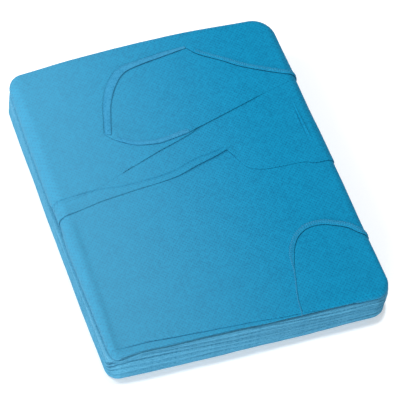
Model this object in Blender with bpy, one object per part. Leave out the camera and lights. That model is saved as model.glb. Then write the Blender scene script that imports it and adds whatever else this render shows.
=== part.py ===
"""A visitor gown of blue nonwoven cloth, folded into a flat block that lies on a table.

Metres, +Z up. The front of the block faces -Y and its underside is at Z = 0.
The hidden layers are one rounded solid, creased along its sides where they are stacked.
The panels that show are thin walls that lie on it and on each other, and turn down over its rim.
A panel's edge is a curve in a flat plan of the block's top. Beyond the rim, the plan's distance
is the distance round the rim's fold, so one plan gives both the top and the turned-down border.
"""

import math

import bpy
import numpy as np
from mathutils import Vector
from mathutils.geometry import delaunay_2d_cdt

NAME = "visitor_gown_folded"

# Cloth
CLOTH = 0.0010  # thickness of each cloth wall
GAP = 0.0003  # space between pieces that touch
PITCH = CLOTH + GAP  # rise from one layer of cloth to the next

# Block
RIM_HEIGHT = 0.0525  # top of the hidden layers at the rim
CROWN = 0.0018  # how much higher their middle is
CROWN_HALF_WIDTH = 0.160
CROWN_HALF_DEPTH = 0.186
STATION_SPACING = 0.021  # along the straight sides
CORNER_STEPS = 4

# The block's corners at its widest: name, x, y, radius, and the bow of the side that follows
CORNERS = (
    ("front left", -0.1520, -0.1840, 0.0150, 0.0012),
    ("front right", 0.1585, -0.1905, 0.0190, 0.0012),
    ("back right", 0.1420, 0.1755, 0.0270, 0.0052),
    ("back left", -0.1612, 0.1738, 0.0175, 0.0012),
)

# The rounded fold that the top panels turn over: place, x, y, its outer radius
RIM_FOLDS = (
    ("front, left part", -0.118, -0.185, 0.0024),
    ("front, middle", 0.000, -0.187, 0.0031),
    ("front, right part", 0.110, -0.189, 0.0054),
    ("front right corner", 0.152, -0.182, 0.0080),
    ("right, near the front", 0.154, -0.100, 0.0115),
    ("right, near the back", 0.145, 0.110, 0.0120),
    ("back right corner", 0.138, 0.170, 0.0100),
    ("back, middle", 0.000, 0.174, 0.0085),
    ("back left corner", -0.154, 0.167, 0.0095),
    ("left, near the back", -0.158, 0.110, 0.0135),
    ("left, near the front", -0.154, -0.090, 0.0135),
    ("front left corner", -0.149, -0.181, 0.0075),
)
STACK_FRONT = 0.0016  # cloth over the hidden layers at the front rim
STACK_ELSEWHERE = 0.0042  # and at the other rims, where the upper panels lie too
FOLD_ROWS = np.radians((0, 30, 60, 90, 120, 150))  # turns at which the fold is modelled
TOP_RINGS = (0.35, 0.70)  # rings of the hidden layers' top, as shares of the way to its rim

# The creases in the stacked sides, from the top: height at the left and right ends of the
# front, on the right, the back and the left, then depth on the front, right, back and left
CREASES = (
    (0.0428, 0.0360, 0.0235, 0.0325, 0.0245, 0.0034, 0.0006, 0.0030, 0.0005),
    (0.0374, 0.0292, 0.0190, 0.0265, 0.0200, 0.0024, 0.0008, 0.0022, 0.0005),
    (0.0298, 0.0220, 0.0148, 0.0202, 0.0150, 0.0030, 0.0018, 0.0028, 0.0014),
    (0.0204, 0.0146, 0.0100, 0.0136, 0.0100, 0.0022, 0.0006, 0.0022, 0.0005),
    (0.0112, 0.0078, 0.0058, 0.0074, 0.0058, 0.0018, 0.0005, 0.0018, 0.0004),
)
CREASE_LIP = 0.0011  # from the bottom of a crease to the fold above or below it
LIP_SHARE = 0.22  # how far in that lip is, as a share of the crease's depth
WANDER = 0.0004  # how far a crease strays up and down along its side
RIM_CREASE = 0.0010  # how much deeper the hidden layers go just under the rim's fold
RIM_CREASE_DROP = 0.0004  # from that crease to the first fold of the stack
RIM_CREASE_SHARE = 0.35  # how far in that fold begins, as a share of the rim's radius
UNDERSIDE_INSET = 0.0045  # the flat underside stops this far inside the widest outline
UNDERSIDE_TURN = 0.0012  # height at which the lowest fold turns under
UNDERSIDE_TURN_SHARE = 0.3  # and how far in it is there, as a share of the underside's inset

# Edges and seams in the flat plan. The neckline's rows are x, y and the binding's width.
NECKLINE = (
    (-0.0735, 0.0690, 0.0068),
    (-0.0685, 0.0870, 0.0072),
    (-0.0620, 0.1070, 0.0082),
    (-0.0515, 0.1260, 0.0092),
    (-0.0370, 0.1410, 0.0086),
    (-0.0170, 0.1468, 0.0062),
    (0.0130, 0.1511, 0.0052),
    (0.0385, 0.1545, 0.0030),
)
LOWER_NECKLINE = (
    (-0.0800, 0.0710),
    (-0.0720, 0.0625),
    (-0.0640, 0.0565),
    (-0.0520, 0.0500),
    (-0.0390, 0.0467),
    (-0.0250, 0.0453),
    (-0.0110, 0.0470),
    (0.0030, 0.0490),
    (0.0090, 0.0500),
)
# The edge of the upper front panel that lies hidden under the bound lower neckline
TUCKED_EDGE = (
    (-0.0755, 0.0790),
    (-0.0655, 0.0700),
    (-0.0530, 0.0600),
    (-0.0390, 0.0560),
    (-0.0250, 0.0550),
    (-0.0100, 0.0560),
    (0.0060, 0.0565),
    (0.0160, 0.0515),
)
RIGHT_BACK_EDGE = (
    (0.0200, 0.0535),
    (0.0340, 0.0575),
    (0.0720, 0.0680),
    (0.1110, 0.0790),
    (0.1510, 0.0880),
)
SHOULDER_SEAM = (
    (0.0400, 0.1545),
    (0.0470, 0.1455),
    (0.0580, 0.1375),
    (0.0720, 0.1285),
    (0.0890, 0.1165),
    (0.1100, 0.1055),
    (0.1310, 0.0955),
    (0.1510, 0.0880),
)
FRONT_PANEL_EDGE = (
    (-0.1800, 0.0000),
    (-0.1300, 0.0055),
    (-0.1050, 0.0115),
    (-0.0790, 0.0200),
    (-0.0460, 0.0310),
    (-0.0280, 0.0370),
    (-0.0030, 0.0445),
    (0.0080, 0.0480),
    (0.0160, 0.0515),
)
LEFT_BACK_EDGE_LEFT = (
    (-0.1900, -0.0150),
    (-0.1500, -0.0115),
    (-0.1240, -0.0080),
    (-0.1060, -0.0050),
    (-0.0700, -0.0020),
    (-0.0400, 0.0000),
    (-0.0190, 0.0025),
    (0.0000, 0.0080),
    (0.0130, 0.0115),
    (0.0270, 0.0150),
    (0.0410, 0.0195),
)
LEFT_BACK_EDGE_RIGHT = (
    (0.0410, 0.0195),
    (0.0445, 0.0130),
    (0.0490, 0.0040),
    (0.0560, -0.0070),
    (0.0700, -0.0135),
    (0.0900, -0.0155),
    (0.1150, -0.0165),
    (0.1280, -0.0205),
    (0.1410, -0.0215),
    (0.1900, -0.0225),
)
ARMHOLE_SEAM = (
    (0.1900, -0.1330),
    (0.1600, -0.1235),
    (0.1450, -0.1145),
    (0.1345, -0.1050),
    (0.1210, -0.0985),
    (0.1070, -0.0940),
    (0.0900, -0.0955),
    (0.0760, -0.1060),
    (0.0665, -0.1260),
    (0.0600, -0.1520),
    (0.0570, -0.1640),
    (0.0550, -0.1780),
    (0.0540, -0.2050),
)
SEAM_BAND = 0.0058  # width of an overlocked seam's turned edge
LOWER_BINDING = 0.0052  # width of the binding on the lower neckline
BINDING_LAP = 0.0002  # how far the binding reaches past the neckline, over the panel below
EDGE_UNDER_BINDING = 0.0020  # the upper front panel's own edge is this far under the binding
SEAM_BAND_START = 0.0440  # x at which the shoulder seam's turned edge comes out of the peak
BINDING_JOIN = -0.0705  # x at which the lower binding comes out from under the upper one
BINDING_CLEAR = 0.0001  # the lower binding's own edge, inside the panel's
TUCK_CLEAR = 0.0020  # the panel over the tucked edge lies high up to here from it
TUCK_SLOPE = 0.0090  # and is down on the layer below at this distance
FAR = 0.30  # beyond the block on every side

# Meshing
CURVE_STEP = 0.006
GRID = 0.030
GRID_CLEAR = 0.008  # grid points keep this far from edges and from the rim

BLUE = (0.078, 0.330, 0.540)
PALE_BLUE = (0.150, 0.420, 0.610)


def clear_scene():
    for item in list(bpy.data.objects):
        bpy.data.objects.remove(item, do_unlink=True)


def cloth_material(name, colour):
    """Matte nonwoven cloth."""
    material = bpy.data.materials.new(name)
    material.use_nodes = True
    shader = material.node_tree.nodes["Principled BSDF"]
    shader.inputs["Base Color"].default_value = (*colour, 1.0)
    shader.inputs["Roughness"].default_value = 0.85
    shader.inputs["Metallic"].default_value = 0.0
    return material


def unit(vector):
    return vector / np.linalg.norm(vector)


def smooth_curve(points, step=CURVE_STEP):
    """Points about a step apart on a Catmull-Rom curve through the given rows."""
    rows = np.array(points, float)
    ends = np.vstack([2 * rows[0] - rows[1], rows, 2 * rows[-1] - rows[-2]])
    curve = []
    for before, a, b, after in zip(ends, ends[1:], ends[2:], ends[3:]):
        count = max(1, round(np.linalg.norm((b - a)[:2]) / step))
        for k in range(count):
            t = k / count
            curve.append(
                0.5
                * (
                    2 * a
                    + (b - before) * t
                    + (2 * before - 5 * a + 4 * b - after) * t**2
                    + (3 * a - before - 3 * b + after) * t**3
                )
            )
    curve.append(rows[-1])
    return np.array(curve)


def moved_left(curve, distance):
    """The curve moved to its left by a distance, or by one distance for each point."""
    flat = curve[:, :2]
    along = np.gradient(flat, axis=0)
    along /= np.linalg.norm(along, axis=1)[:, None]
    left = np.column_stack([-along[:, 1], along[:, 0]])
    return flat + left * np.broadcast_to(distance, len(flat))[:, None]


def anticlockwise(polygon):
    x, y = polygon.T
    area = np.dot(x, np.roll(y, -1)) - np.dot(y, np.roll(x, -1))
    return polygon if area > 0 else polygon[::-1]


def inside(polygon, x, y):
    """Whether a flat point lies in a polygon."""
    a, b = polygon, np.roll(polygon, -1, axis=0)
    spans = (a[:, 1] > y) != (b[:, 1] > y)
    a, b = a[spans], b[spans]
    crossing = a[:, 0] + (y - a[:, 1]) / (b[:, 1] - a[:, 1]) * (b[:, 0] - a[:, 0])
    return np.count_nonzero(crossing > x) % 2 == 1


def distance_to(curve, x, y):
    """How far a flat point is from an open curve."""
    a, b = curve[:-1, :2], curve[1:, :2]
    point = np.array((x, y))
    share = ((point - a) * (b - a)).sum(1) / ((b - a) ** 2).sum(1)
    nearest = a + np.clip(share, 0, 1)[:, None] * (b - a)
    return float(np.linalg.norm(nearest - point, axis=1).min())


def top_height(x, y):
    """Height of the hidden layers' top surface."""
    across = max(0.0, 1 - (x / CROWN_HALF_WIDTH) ** 2)
    along = max(0.0, 1 - (y / CROWN_HALF_DEPTH) ** 2)
    return RIM_HEIGHT + CROWN * across * along


def outline():
    """Stations round the block at its widest, anticlockwise: points and outward directions."""
    corners = np.array([(x, y) for _, x, y, _, _ in CORNERS])
    arcs = []
    for i, (_, _, _, radius, _) in enumerate(CORNERS):
        here = corners[i]
        into = unit(here - corners[i - 1])
        away = unit(corners[(i + 1) % len(corners)] - here)
        turn = math.acos(np.dot(into, away))
        centre = here - into * radius * math.tan(turn / 2) + radius * np.array((-into[1], into[0]))
        first = math.atan2(-into[0], into[1])
        angles = first + turn * np.linspace(0, 1, CORNER_STEPS + 1)
        facing = np.column_stack([np.cos(angles), np.sin(angles)])
        arcs.append((centre + radius * facing, facing))
    points, normals = [], []
    for i, (arc, facing) in enumerate(arcs):
        points.extend(arc)
        normals.extend(facing)
        start, end = arc[-1], arcs[(i + 1) % len(arcs)][0][0]
        count = round(np.linalg.norm(end - start) / STATION_SPACING)
        for k in range(1, count):
            share = k / count
            bow = CORNERS[i][-1] * math.sin(math.pi * share)
            points.append(start + share * (end - start) + bow * facing[-1])
            normals.append(facing[-1])
    return np.array(points), np.array(normals)


def shares_of_sides(normals):
    """How much each station belongs to the front, right, back and left."""
    x, y = normals[:, 0], normals[:, 1]
    return np.column_stack(
        [(y * (y < 0)) ** 2, (x * (x > 0)) ** 2, (y * (y > 0)) ** 2, (x * (x < 0)) ** 2]
    )


def along_outline(points, places, values):
    """Values given at places near the outline, spread linearly along it to every station."""
    steps = np.linalg.norm(np.roll(points, -1, axis=0) - points, axis=1)
    travelled = np.concatenate([[0], np.cumsum(steps)[:-1]])
    at = [travelled[np.linalg.norm(points - place, axis=1).argmin()] for place in places]
    order = np.argsort(at)
    return np.interp(
        travelled, np.array(at)[order], np.array(values)[order], period=steps.sum()
    )


class Rim:
    """The line where the flat top ends, and the rounded fold outside it, station by station."""

    def __init__(self):
        self.widest, self.normals = outline()
        self.sides = shares_of_sides(self.normals)
        places = [np.array((x, y)) for _, x, y, _ in RIM_FOLDS]
        self.outer = along_outline(self.widest, places, [radius for *_, radius in RIM_FOLDS])
        front = self.sides[:, 0]
        self.radius = self.outer - (STACK_FRONT * front + STACK_ELSEWHERE * (1 - front))
        self.line = self.widest - self.normals * self.outer[:, None]
        self.height = np.array([top_height(x, y) for x, y in self.line])
        self.reach = self.normals * self.radius[:, None]  # plan distance for each radian

    def row(self, turn):
        """The closed plan line at a turn round the fold."""
        return self.line + self.reach * turn

    def locate(self, x, y):
        """The station before a plan point outside the line, the share past it, and the turn."""
        a, b = self.line, np.roll(self.line, -1, axis=0)
        m, n = self.reach, np.roll(self.reach, -1, axis=0)
        point = np.array((x, y))
        share = np.clip(((point - a) * (b - a)).sum(1) / ((b - a) ** 2).sum(1), 0, 1)
        turn = np.ones(len(a))
        for _ in range(8):
            spoke = m + share[:, None] * (n - m)
            miss = point - a - share[:, None] * (b - a) - turn[:, None] * spoke
            chord = (b - a) + turn[:, None] * (n - m)
            area = chord[:, 0] * spoke[:, 1] - chord[:, 1] * spoke[:, 0]
            share = share + (miss[:, 0] * spoke[:, 1] - miss[:, 1] * spoke[:, 0]) / area
            turn = turn + (chord[:, 0] * miss[:, 1] - chord[:, 1] * miss[:, 0]) / area
        miss = np.maximum(0, np.maximum(-share, share - 1)) + 10 * (turn < -1e-3)
        held = miss < 1e-6
        best = int(np.where(held, turn, np.inf).argmin() if held.any() else miss.argmin())
        return best, float(np.clip(share[best], 0, 1)), max(0.0, float(turn[best]))

    def at_station(self, i, turn, out):
        """A point of the fold at a station, moved out by a distance."""
        row = min(int(np.searchsorted(FOLD_ROWS, turn, side="right")) - 1, len(FOLD_ROWS) - 2)
        share = (turn - FOLD_ROWS[row]) / (FOLD_ROWS[row + 1] - FOLD_ROWS[row])
        sine = np.interp(share, (0, 1), np.sin(FOLD_ROWS[row : row + 2]))
        cosine = np.interp(share, (0, 1), np.cos(FOLD_ROWS[row : row + 2]))
        radius = self.radius[i] + out
        flat = self.line[i] + self.normals[i] * radius * sine
        return np.array((*flat, self.height[i] - self.radius[i] + radius * cosine))

    def lift(self, x, y, out):
        """The place of a plan point on the block's skin, moved out by a distance."""
        if inside(self.line, x, y):
            return np.array((x, y, top_height(x, y) + out))
        i, share, turn = self.locate(x, y)
        here = self.at_station(i, turn, out)
        there = self.at_station((i + 1) % len(self.line), turn, out)
        return here + share * (there - here)


def new_object(name, points, faces, colour, collection):
    mesh = bpy.data.meshes.new(name)
    mesh.from_pydata([tuple(p) for p in points], [], faces)
    mesh.validate()
    mesh.shade_smooth()
    mesh.set_sharp_from_angle(angle=math.radians(40))
    mesh.materials.append(cloth_material(name, colour))
    made = bpy.data.objects.new(name, mesh)
    collection.objects.link(made)
    return made


def grid_points(rim, edges):
    """Plan points on the flat top, clear of its rim and of the given curves."""
    inner = rim.line - rim.normals * GRID_CLEAR
    low, high = inner.min(axis=0), inner.max(axis=0)
    for x in np.linspace(low[0], high[0], round((high[0] - low[0]) / GRID) + 1):
        for y in np.linspace(low[1], high[1], round((high[1] - low[1]) / GRID) + 1):
            if inside(inner, x, y) and all(distance_to(e, x, y) > GRID_CLEAR for e in edges):
                yield (x, y)


def plan_triangles(rim, region, end_turn, guides=()):
    """The plan of one panel: its region of the block's skin, cut into triangles."""
    border = rim.row(end_turn)
    loops = [border, region] + [rim.row(turn) for turn in FOLD_ROWS if turn < end_turn]
    points, edges = [], []
    for loop in loops:
        first, count = len(points), len(loop)
        points.extend(map(tuple, loop))
        edges.extend((first + k, first + (k + 1) % count) for k in range(count))
    for guide in guides:
        first, count = len(points), len(guide)
        points.extend(map(tuple, guide[:, :2]))
        edges.extend((first + k, first + k + 1) for k in range(count - 1))
    closed = np.vstack([region, region[:1]])
    points.extend(grid_points(rim, [closed, *guides]))
    outer = list(range(len(border)))
    piece = list(range(len(border), len(border) + len(region)))
    flat, _, faces, _, _, sources = delaunay_2d_cdt(
        [Vector(p) for p in points], edges, [outer, piece], 0, 1e-6, True
    )
    kept = [face for face, source in zip(faces, sources) if {0, 1} <= set(source)]
    used = sorted({i for face in kept for i in face})
    place = {old: new for new, old in enumerate(used)}
    return [flat[i] for i in used], [[place[i] for i in face] for face in kept]


def panel(name, rim, region, out, colour, collection, end_turn=FOLD_ROWS[-1], guides=()):
    """A wall of cloth over a plan region. out gives the height of its inner side at (x, y)."""
    flat, faces = plan_triangles(rim, anticlockwise(np.asarray(region)), end_turn, guides)
    inner = [rim.lift(x, y, out(x, y)) for x, y in flat]
    outer = [rim.lift(x, y, out(x, y) + CLOTH) for x, y in flat]
    count = len(flat)
    edges = {(a, b) for face in faces for a, b in zip(face, face[1:] + face[:1])}
    walls = [(a, b, b + count, a + count) for a, b in edges if (b, a) not in edges]
    tops = [tuple(i + count for i in face) for face in faces]
    bottoms = [tuple(reversed(face)) for face in faces]
    return new_object(name, inner + outer, tops + bottoms + sorted(walls), colour, collection)


def layer(number):
    """The height function of a panel that lies on the given number of others."""
    return lambda x, y: GAP + number * PITCH


def tuck_rise(x, y):
    """How much higher cloth lies where it passes over the upper front panel's tucked edge."""
    first, last = TUCKED_EDGE[0], TUCKED_EDGE[-1]
    over = np.array([*TUCKED_EDGE, (last[0], 0.0), (2 * first[0], 0.0), (2 * first[0], first[1])])
    if inside(over, x, y):
        return PITCH
    away = distance_to(over, x, y)
    return PITCH * (1 - min(1.0, max(0.0, away - TUCK_CLEAR) / (TUCK_SLOPE - TUCK_CLEAR)))


def over_tuck(number):
    """The height function of cloth on the given number of others that also crosses the tuck."""
    return lambda x, y: GAP + number * PITCH + tuck_rise(x, y)


def side_creases(rim):
    """Height and depth of every crease at each station, from the top one down."""
    share = np.clip(rim.widest[:, 0] / (2 * CROWN_HALF_WIDTH) + 0.5, 0, 1)
    lap = 2 * math.pi * np.arange(len(share)) / len(share)
    ceiling = rim.height - rim.radius - rim.outer
    for number, row in enumerate(CREASES):
        left_end, right_end, *others = row[:5]
        front = left_end + share * (right_end - left_end)
        height = rim.sides[:, 0] * front + rim.sides[:, 1:] @ np.array(others)
        height = height + WANDER * np.sin((5 + number) * lap + 2.1 * number)
        height = np.minimum(height, ceiling - 2 * CREASE_LIP)
        ceiling = height - CREASE_LIP
        yield height, rim.sides @ np.array(row[5:])


def core_rings(rim):
    """The hidden layers' rings from the top's edge to the underside, as points per station."""

    def ring(inset, height):
        flat = rim.widest - rim.normals * np.broadcast_to(inset, len(rim.widest))[:, None]
        return np.column_stack([flat, np.broadcast_to(height, len(flat))])

    for turn in FOLD_ROWS:
        yield np.array([rim.at_station(i, turn, 0.0) for i in range(len(rim.line))])
    fold_end = rim.height - rim.radius * (1 - math.cos(FOLD_ROWS[-1]))
    fold_inset = rim.outer - rim.radius * math.sin(FOLD_ROWS[-1])
    fold_bottom = rim.height - rim.radius - rim.outer
    yield ring(fold_inset + RIM_CREASE, (fold_end + fold_bottom) / 2)
    above, lip = fold_bottom - RIM_CREASE_DROP, RIM_CREASE_SHARE * rim.outer
    for height, depth in side_creases(rim):
        below = height + CREASE_LIP
        yield ring(lip, above)
        yield ring(0.0, (above + below) / 2)
        yield ring(LIP_SHARE * depth, below)
        yield ring(depth, height)
        above, lip = height - CREASE_LIP, LIP_SHARE * depth
    yield ring(lip, above)
    yield ring(0.0, (above + UNDERSIDE_TURN) / 2)
    yield ring(UNDERSIDE_TURN_SHARE * UNDERSIDE_INSET, UNDERSIDE_TURN)
    yield ring(UNDERSIDE_INSET, 0.0)


def folded_core(rim, collection):
    """The hidden layers as one rounded solid with a flat underside."""
    count = len(rim.line)
    top_rings = []
    for share in TOP_RINGS:
        flat = rim.line * share
        top_rings.append(np.column_stack([flat, [top_height(x, y) for x, y in flat]]))
    rings = top_rings + list(core_rings(rim))
    points = [np.array((0, 0, top_height(0, 0)))] + [p for ring in rings for p in ring]
    faces = [(0, 1 + k, 1 + (k + 1) % count) for k in range(count)]
    for level in range(len(rings) - 1):
        first = 1 + level * count
        for k in range(count):
            following = (k + 1) % count
            faces.append(
                (first + k, first + count + k, first + count + following, first + following)
            )
    last = 1 + (len(rings) - 1) * count
    faces.append(tuple(last + k for k in reversed(range(count))))
    return new_object("folded_core", points, faces, PALE_BLUE, collection)


def front_panel_lower(rim, collection):
    """The long front of the gown, under all the rest, with the armhole cut out of it."""
    seam = moved_left(smooth_curve(ARMHOLE_SEAM), -GAP / 2)
    beyond = [(seam[-1][0], -FAR), (-FAR, -FAR), (-FAR, FAR), (FAR, FAR), (FAR, seam[0][1])]
    region = np.vstack([seam, beyond])
    return panel("front_panel_lower", rim, region, layer(0), BLUE, collection)


def sleeve_right(rim, collection):
    """The sleeve in that armhole, folded flat."""
    seam = moved_left(smooth_curve(ARMHOLE_SEAM), GAP / 2)
    region = np.vstack([seam, [(seam[-1][0], -FAR), (FAR, -FAR), (FAR, seam[0][1])]])
    return panel("sleeve_right", rim, region, layer(0), BLUE, collection)


def back_panel_left(rim, collection):
    """The left back, folded over the lower half, with its notched edge across the block."""
    left, right = smooth_curve(LEFT_BACK_EDGE_LEFT), smooth_curve(LEFT_BACK_EDGE_RIGHT)
    beyond = [(FAR, right[-1][1]), (FAR, FAR), (-FAR, FAR), (-FAR, left[0][1])]
    region = np.vstack([left, right[1:], beyond])
    return panel("back_panel_left", rim, region, layer(1), BLUE, collection)


def neck_curves():
    """The neckline with its binding widths, and the lower neckline."""
    return smooth_curve(NECKLINE), smooth_curve(LOWER_NECKLINE)


def front_panel_upper(rim, collection):
    """The upper front, folded over the backs: the left and top of the block round the neck."""
    neck, _ = neck_curves()
    hem = smooth_curve(FRONT_PANEL_EDGE)
    edge = moved_left(neck, EDGE_UNDER_BINDING)
    edge = edge[edge[:, 1] > TUCKED_EDGE[0][1] + CLOTH]
    seam = moved_left(smooth_curve(SHOULDER_SEAM), GAP / 2)[1:]
    beyond = [(FAR, seam[-1][1]), (FAR, FAR), (-FAR, FAR), (-FAR, hem[0][1])]
    region = np.vstack([hem[:-1], TUCKED_EDGE[::-1], edge, seam, beyond])
    return panel("front_panel_upper", rim, region, layer(2), BLUE, collection)


def back_panel_right(rim, collection):
    """The right back, seen through the neck and below the shoulder seam."""
    neck, lower = neck_curves()
    edge = moved_left(neck, EDGE_UNDER_BINDING - GAP)
    edge = edge[edge[:, 1] > TUCKED_EDGE[0][1] - CLOTH]
    seam = moved_left(smooth_curve(SHOULDER_SEAM), -GAP / 2)
    region = np.vstack([lower, smooth_curve(RIGHT_BACK_EDGE), seam[::-1], edge[::-1]])
    tucked = smooth_curve(TUCKED_EDGE)
    guides = [moved_left(tucked, distance) for distance in (TUCK_CLEAR, TUCK_SLOPE)]
    return panel("back_panel_right", rim, region, over_tuck(2), BLUE, collection, guides=guides)


def neck_binding(rim, collection):
    """The binding on the neckline of the upper front panel."""
    neck, _ = neck_curves()
    outer = moved_left(neck, neck[:, 2])
    region = np.vstack([moved_left(neck, -BINDING_LAP), outer[::-1]])
    tucked = smooth_curve(TUCKED_EDGE)
    guides = [moved_left(tucked, distance) for distance in (TUCK_CLEAR, TUCK_SLOPE)]
    return panel("neck_binding", rim, region, over_tuck(3), PALE_BLUE, collection, guides=guides)


def neck_binding_lower(rim, collection):
    """The binding on the lower neckline, from the first binding's edge to the hem."""
    _, lower = neck_curves()
    lower = lower[lower[:, 0] > BINDING_JOIN]
    region = np.vstack([moved_left(lower, BINDING_CLEAR), moved_left(lower, LOWER_BINDING)[::-1]])
    return panel("neck_binding_lower", rim, region, over_tuck(3), PALE_BLUE, collection)


def seam_band(name, rim, curve, number, collection):
    """The overlocked, turned edge along the left of a seam."""
    region = np.vstack([moved_left(curve, GAP), moved_left(curve, SEAM_BAND)[::-1]])
    return panel(name, rim, region, layer(number), PALE_BLUE, collection)


def rest_on_origin(collection):
    """Moves the block so that the origin is under the middle of its box."""
    corners = np.array([c for item in collection.objects for c in item.bound_box])
    middle = (corners.min(axis=0) + corners.max(axis=0)) / 2
    for item in collection.objects:
        item.location = (-middle[0], -middle[1], -corners[:, 2].min())


def build():
    clear_scene()
    collection = bpy.data.collections.new(NAME)
    bpy.context.scene.collection.children.link(collection)
    rim = Rim()
    folded_core(rim, collection)
    front_panel_lower(rim, collection)
    sleeve_right(rim, collection)
    back_panel_left(rim, collection)
    front_panel_upper(rim, collection)
    back_panel_right(rim, collection)
    neck_binding(rim, collection)
    neck_binding_lower(rim, collection)
    shoulder = smooth_curve(SHOULDER_SEAM)
    shoulder = shoulder[shoulder[:, 0] > SEAM_BAND_START]
    seam_band("shoulder_seam", rim, shoulder, 3, collection)
    armhole = smooth_curve(ARMHOLE_SEAM)[::-1]
    seam_band("armhole_seam", rim, armhole, 1, collection)
    rest_on_origin(collection)


build()
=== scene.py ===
"""The looks of a folded gown of blue nonwoven cloth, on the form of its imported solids.

Metres, +Z up. A place on the block is given in a flat plan of its top. Beyond the top's rim the
plan's distance is the distance round the rim's fold, so one plan is both the cloth's cut and its
place. How far a surface lies out from the hidden layers is called its lift.
"""

import math

import bpy
import numpy as np
from mathutils import Matrix, Vector
from mathutils.bvhtree import BVHTree
from mathutils.geometry import delaunay_2d_cdt
from numpy.linalg import norm


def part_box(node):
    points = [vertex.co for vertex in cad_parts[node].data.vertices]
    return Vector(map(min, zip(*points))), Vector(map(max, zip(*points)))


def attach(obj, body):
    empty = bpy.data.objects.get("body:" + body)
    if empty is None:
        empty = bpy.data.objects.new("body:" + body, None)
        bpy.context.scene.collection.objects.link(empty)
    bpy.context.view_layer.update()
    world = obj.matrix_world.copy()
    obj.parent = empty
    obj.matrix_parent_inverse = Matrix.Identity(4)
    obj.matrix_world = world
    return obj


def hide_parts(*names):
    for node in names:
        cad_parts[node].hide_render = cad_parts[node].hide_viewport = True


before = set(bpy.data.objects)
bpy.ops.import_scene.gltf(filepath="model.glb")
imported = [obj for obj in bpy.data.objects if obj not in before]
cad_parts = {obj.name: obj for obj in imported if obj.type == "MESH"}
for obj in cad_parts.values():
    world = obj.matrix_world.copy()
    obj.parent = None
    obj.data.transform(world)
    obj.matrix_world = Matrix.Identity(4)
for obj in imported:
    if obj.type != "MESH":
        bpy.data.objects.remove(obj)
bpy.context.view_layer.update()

MM = 0.001

# Cloth, as in the solids: each piece has a space of one wall and one gap
CLOTH = 1.0 * MM
GAP = 0.3 * MM
PITCH = CLOTH + GAP
SHELL = 0.42 * MM  # thickness of the cloth that is drawn in that space

# Block
RIM_HEIGHT = 52.5 * MM
CROWN = 1.8 * MM
CROWN_HALF_WIDTH = 160 * MM
CROWN_HALF_DEPTH = 186 * MM
STATION_SPACING = 2.0 * MM  # of the points that the outline is worked out at
CORNER_STEPS = 16

# The block's corners at its widest: name, x, y, radius, and the bow of the side that follows
CORNERS = (
    ("front left", -0.1520, -0.1840, 0.0150, 0.0012),
    ("front right", 0.1585, -0.1905, 0.0190, 0.0012),
    ("back right", 0.1420, 0.1755, 0.0270, 0.0052),
    ("back left", -0.1612, 0.1738, 0.0175, 0.0012),
)

# The rounded fold that the top panels turn over: place, x, y, its outer radius
RIM_FOLDS = (
    ("front, left part", -0.118, -0.185, 0.0024),
    ("front, middle", 0.000, -0.187, 0.0031),
    ("front, right part", 0.110, -0.189, 0.0054),
    ("front right corner", 0.152, -0.182, 0.0080),
    ("right, near the front", 0.154, -0.100, 0.0115),
    ("right, near the back", 0.145, 0.110, 0.0120),
    ("back right corner", 0.138, 0.170, 0.0100),
    ("back, middle", 0.000, 0.174, 0.0085),
    ("back left corner", -0.154, 0.167, 0.0095),
    ("left, near the back", -0.158, 0.110, 0.0135),
    ("left, near the front", -0.154, -0.090, 0.0135),
    ("front left corner", -0.149, -0.181, 0.0075),
)
STACK_FRONT = 1.6 * MM  # thickness of the panels round that fold
STACK_ELSEWHERE = 4.2 * MM
FOLD_ROWS = np.radians(np.arange(0, 151, 10))

# The main creases between the packets of folded layers, from the top one down: height on the
# right, the back and the left, then depth on the front, right, back and left
CREASES = (
    (0.0235, 0.0325, 0.0245, 0.0034, 0.0006, 0.0030, 0.0005),
    (0.0190, 0.0265, 0.0200, 0.0024, 0.0008, 0.0022, 0.0005),
    (0.0148, 0.0202, 0.0150, 0.0030, 0.0018, 0.0028, 0.0014),
    (0.0100, 0.0136, 0.0100, 0.0022, 0.0006, 0.0022, 0.0005),
    (0.0058, 0.0074, 0.0058, 0.0018, 0.0005, 0.0018, 0.0004),
)
CREASE_LIP = 1.1 * MM  # least room over and under a crease
WANDER = 0.4 * MM  # how far a crease strays up and down
UNDERSIDE_INSET = 4.5 * MM

# Edges and seams in the plan. The neckline's rows are x, y and the binding's width.
NECKLINE = (
    (-0.0735, 0.0690, 0.0068),
    (-0.0685, 0.0870, 0.0072),
    (-0.0620, 0.1070, 0.0082),
    (-0.0515, 0.1260, 0.0092),
    (-0.0370, 0.1410, 0.0086),
    (-0.0170, 0.1468, 0.0062),
    (0.0130, 0.1511, 0.0052),
    (0.0385, 0.1545, 0.0030),
)
LOWER_NECKLINE = (
    (-0.0800, 0.0710),
    (-0.0720, 0.0625),
    (-0.0640, 0.0565),
    (-0.0520, 0.0500),
    (-0.0390, 0.0467),
    (-0.0250, 0.0453),
    (-0.0110, 0.0470),
    (0.0030, 0.0490),
    (0.0090, 0.0500),
)
TUCKED_EDGE = (
    (-0.0755, 0.0790),
    (-0.0655, 0.0700),
    (-0.0530, 0.0600),
    (-0.0390, 0.0560),
    (-0.0250, 0.0550),
    (-0.0100, 0.0560),
    (0.0060, 0.0565),
    (0.0160, 0.0515),
)
RIGHT_BACK_EDGE = (
    (0.0200, 0.0535),
    (0.0340, 0.0575),
    (0.0720, 0.0680),
    (0.1110, 0.0790),
    (0.1510, 0.0880),
)
SHOULDER_SEAM = (
    (0.0400, 0.1545),
    (0.0470, 0.1455),
    (0.0580, 0.1375),
    (0.0720, 0.1285),
    (0.0890, 0.1165),
    (0.1100, 0.1055),
    (0.1310, 0.0955),
    (0.1510, 0.0880),
)
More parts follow.
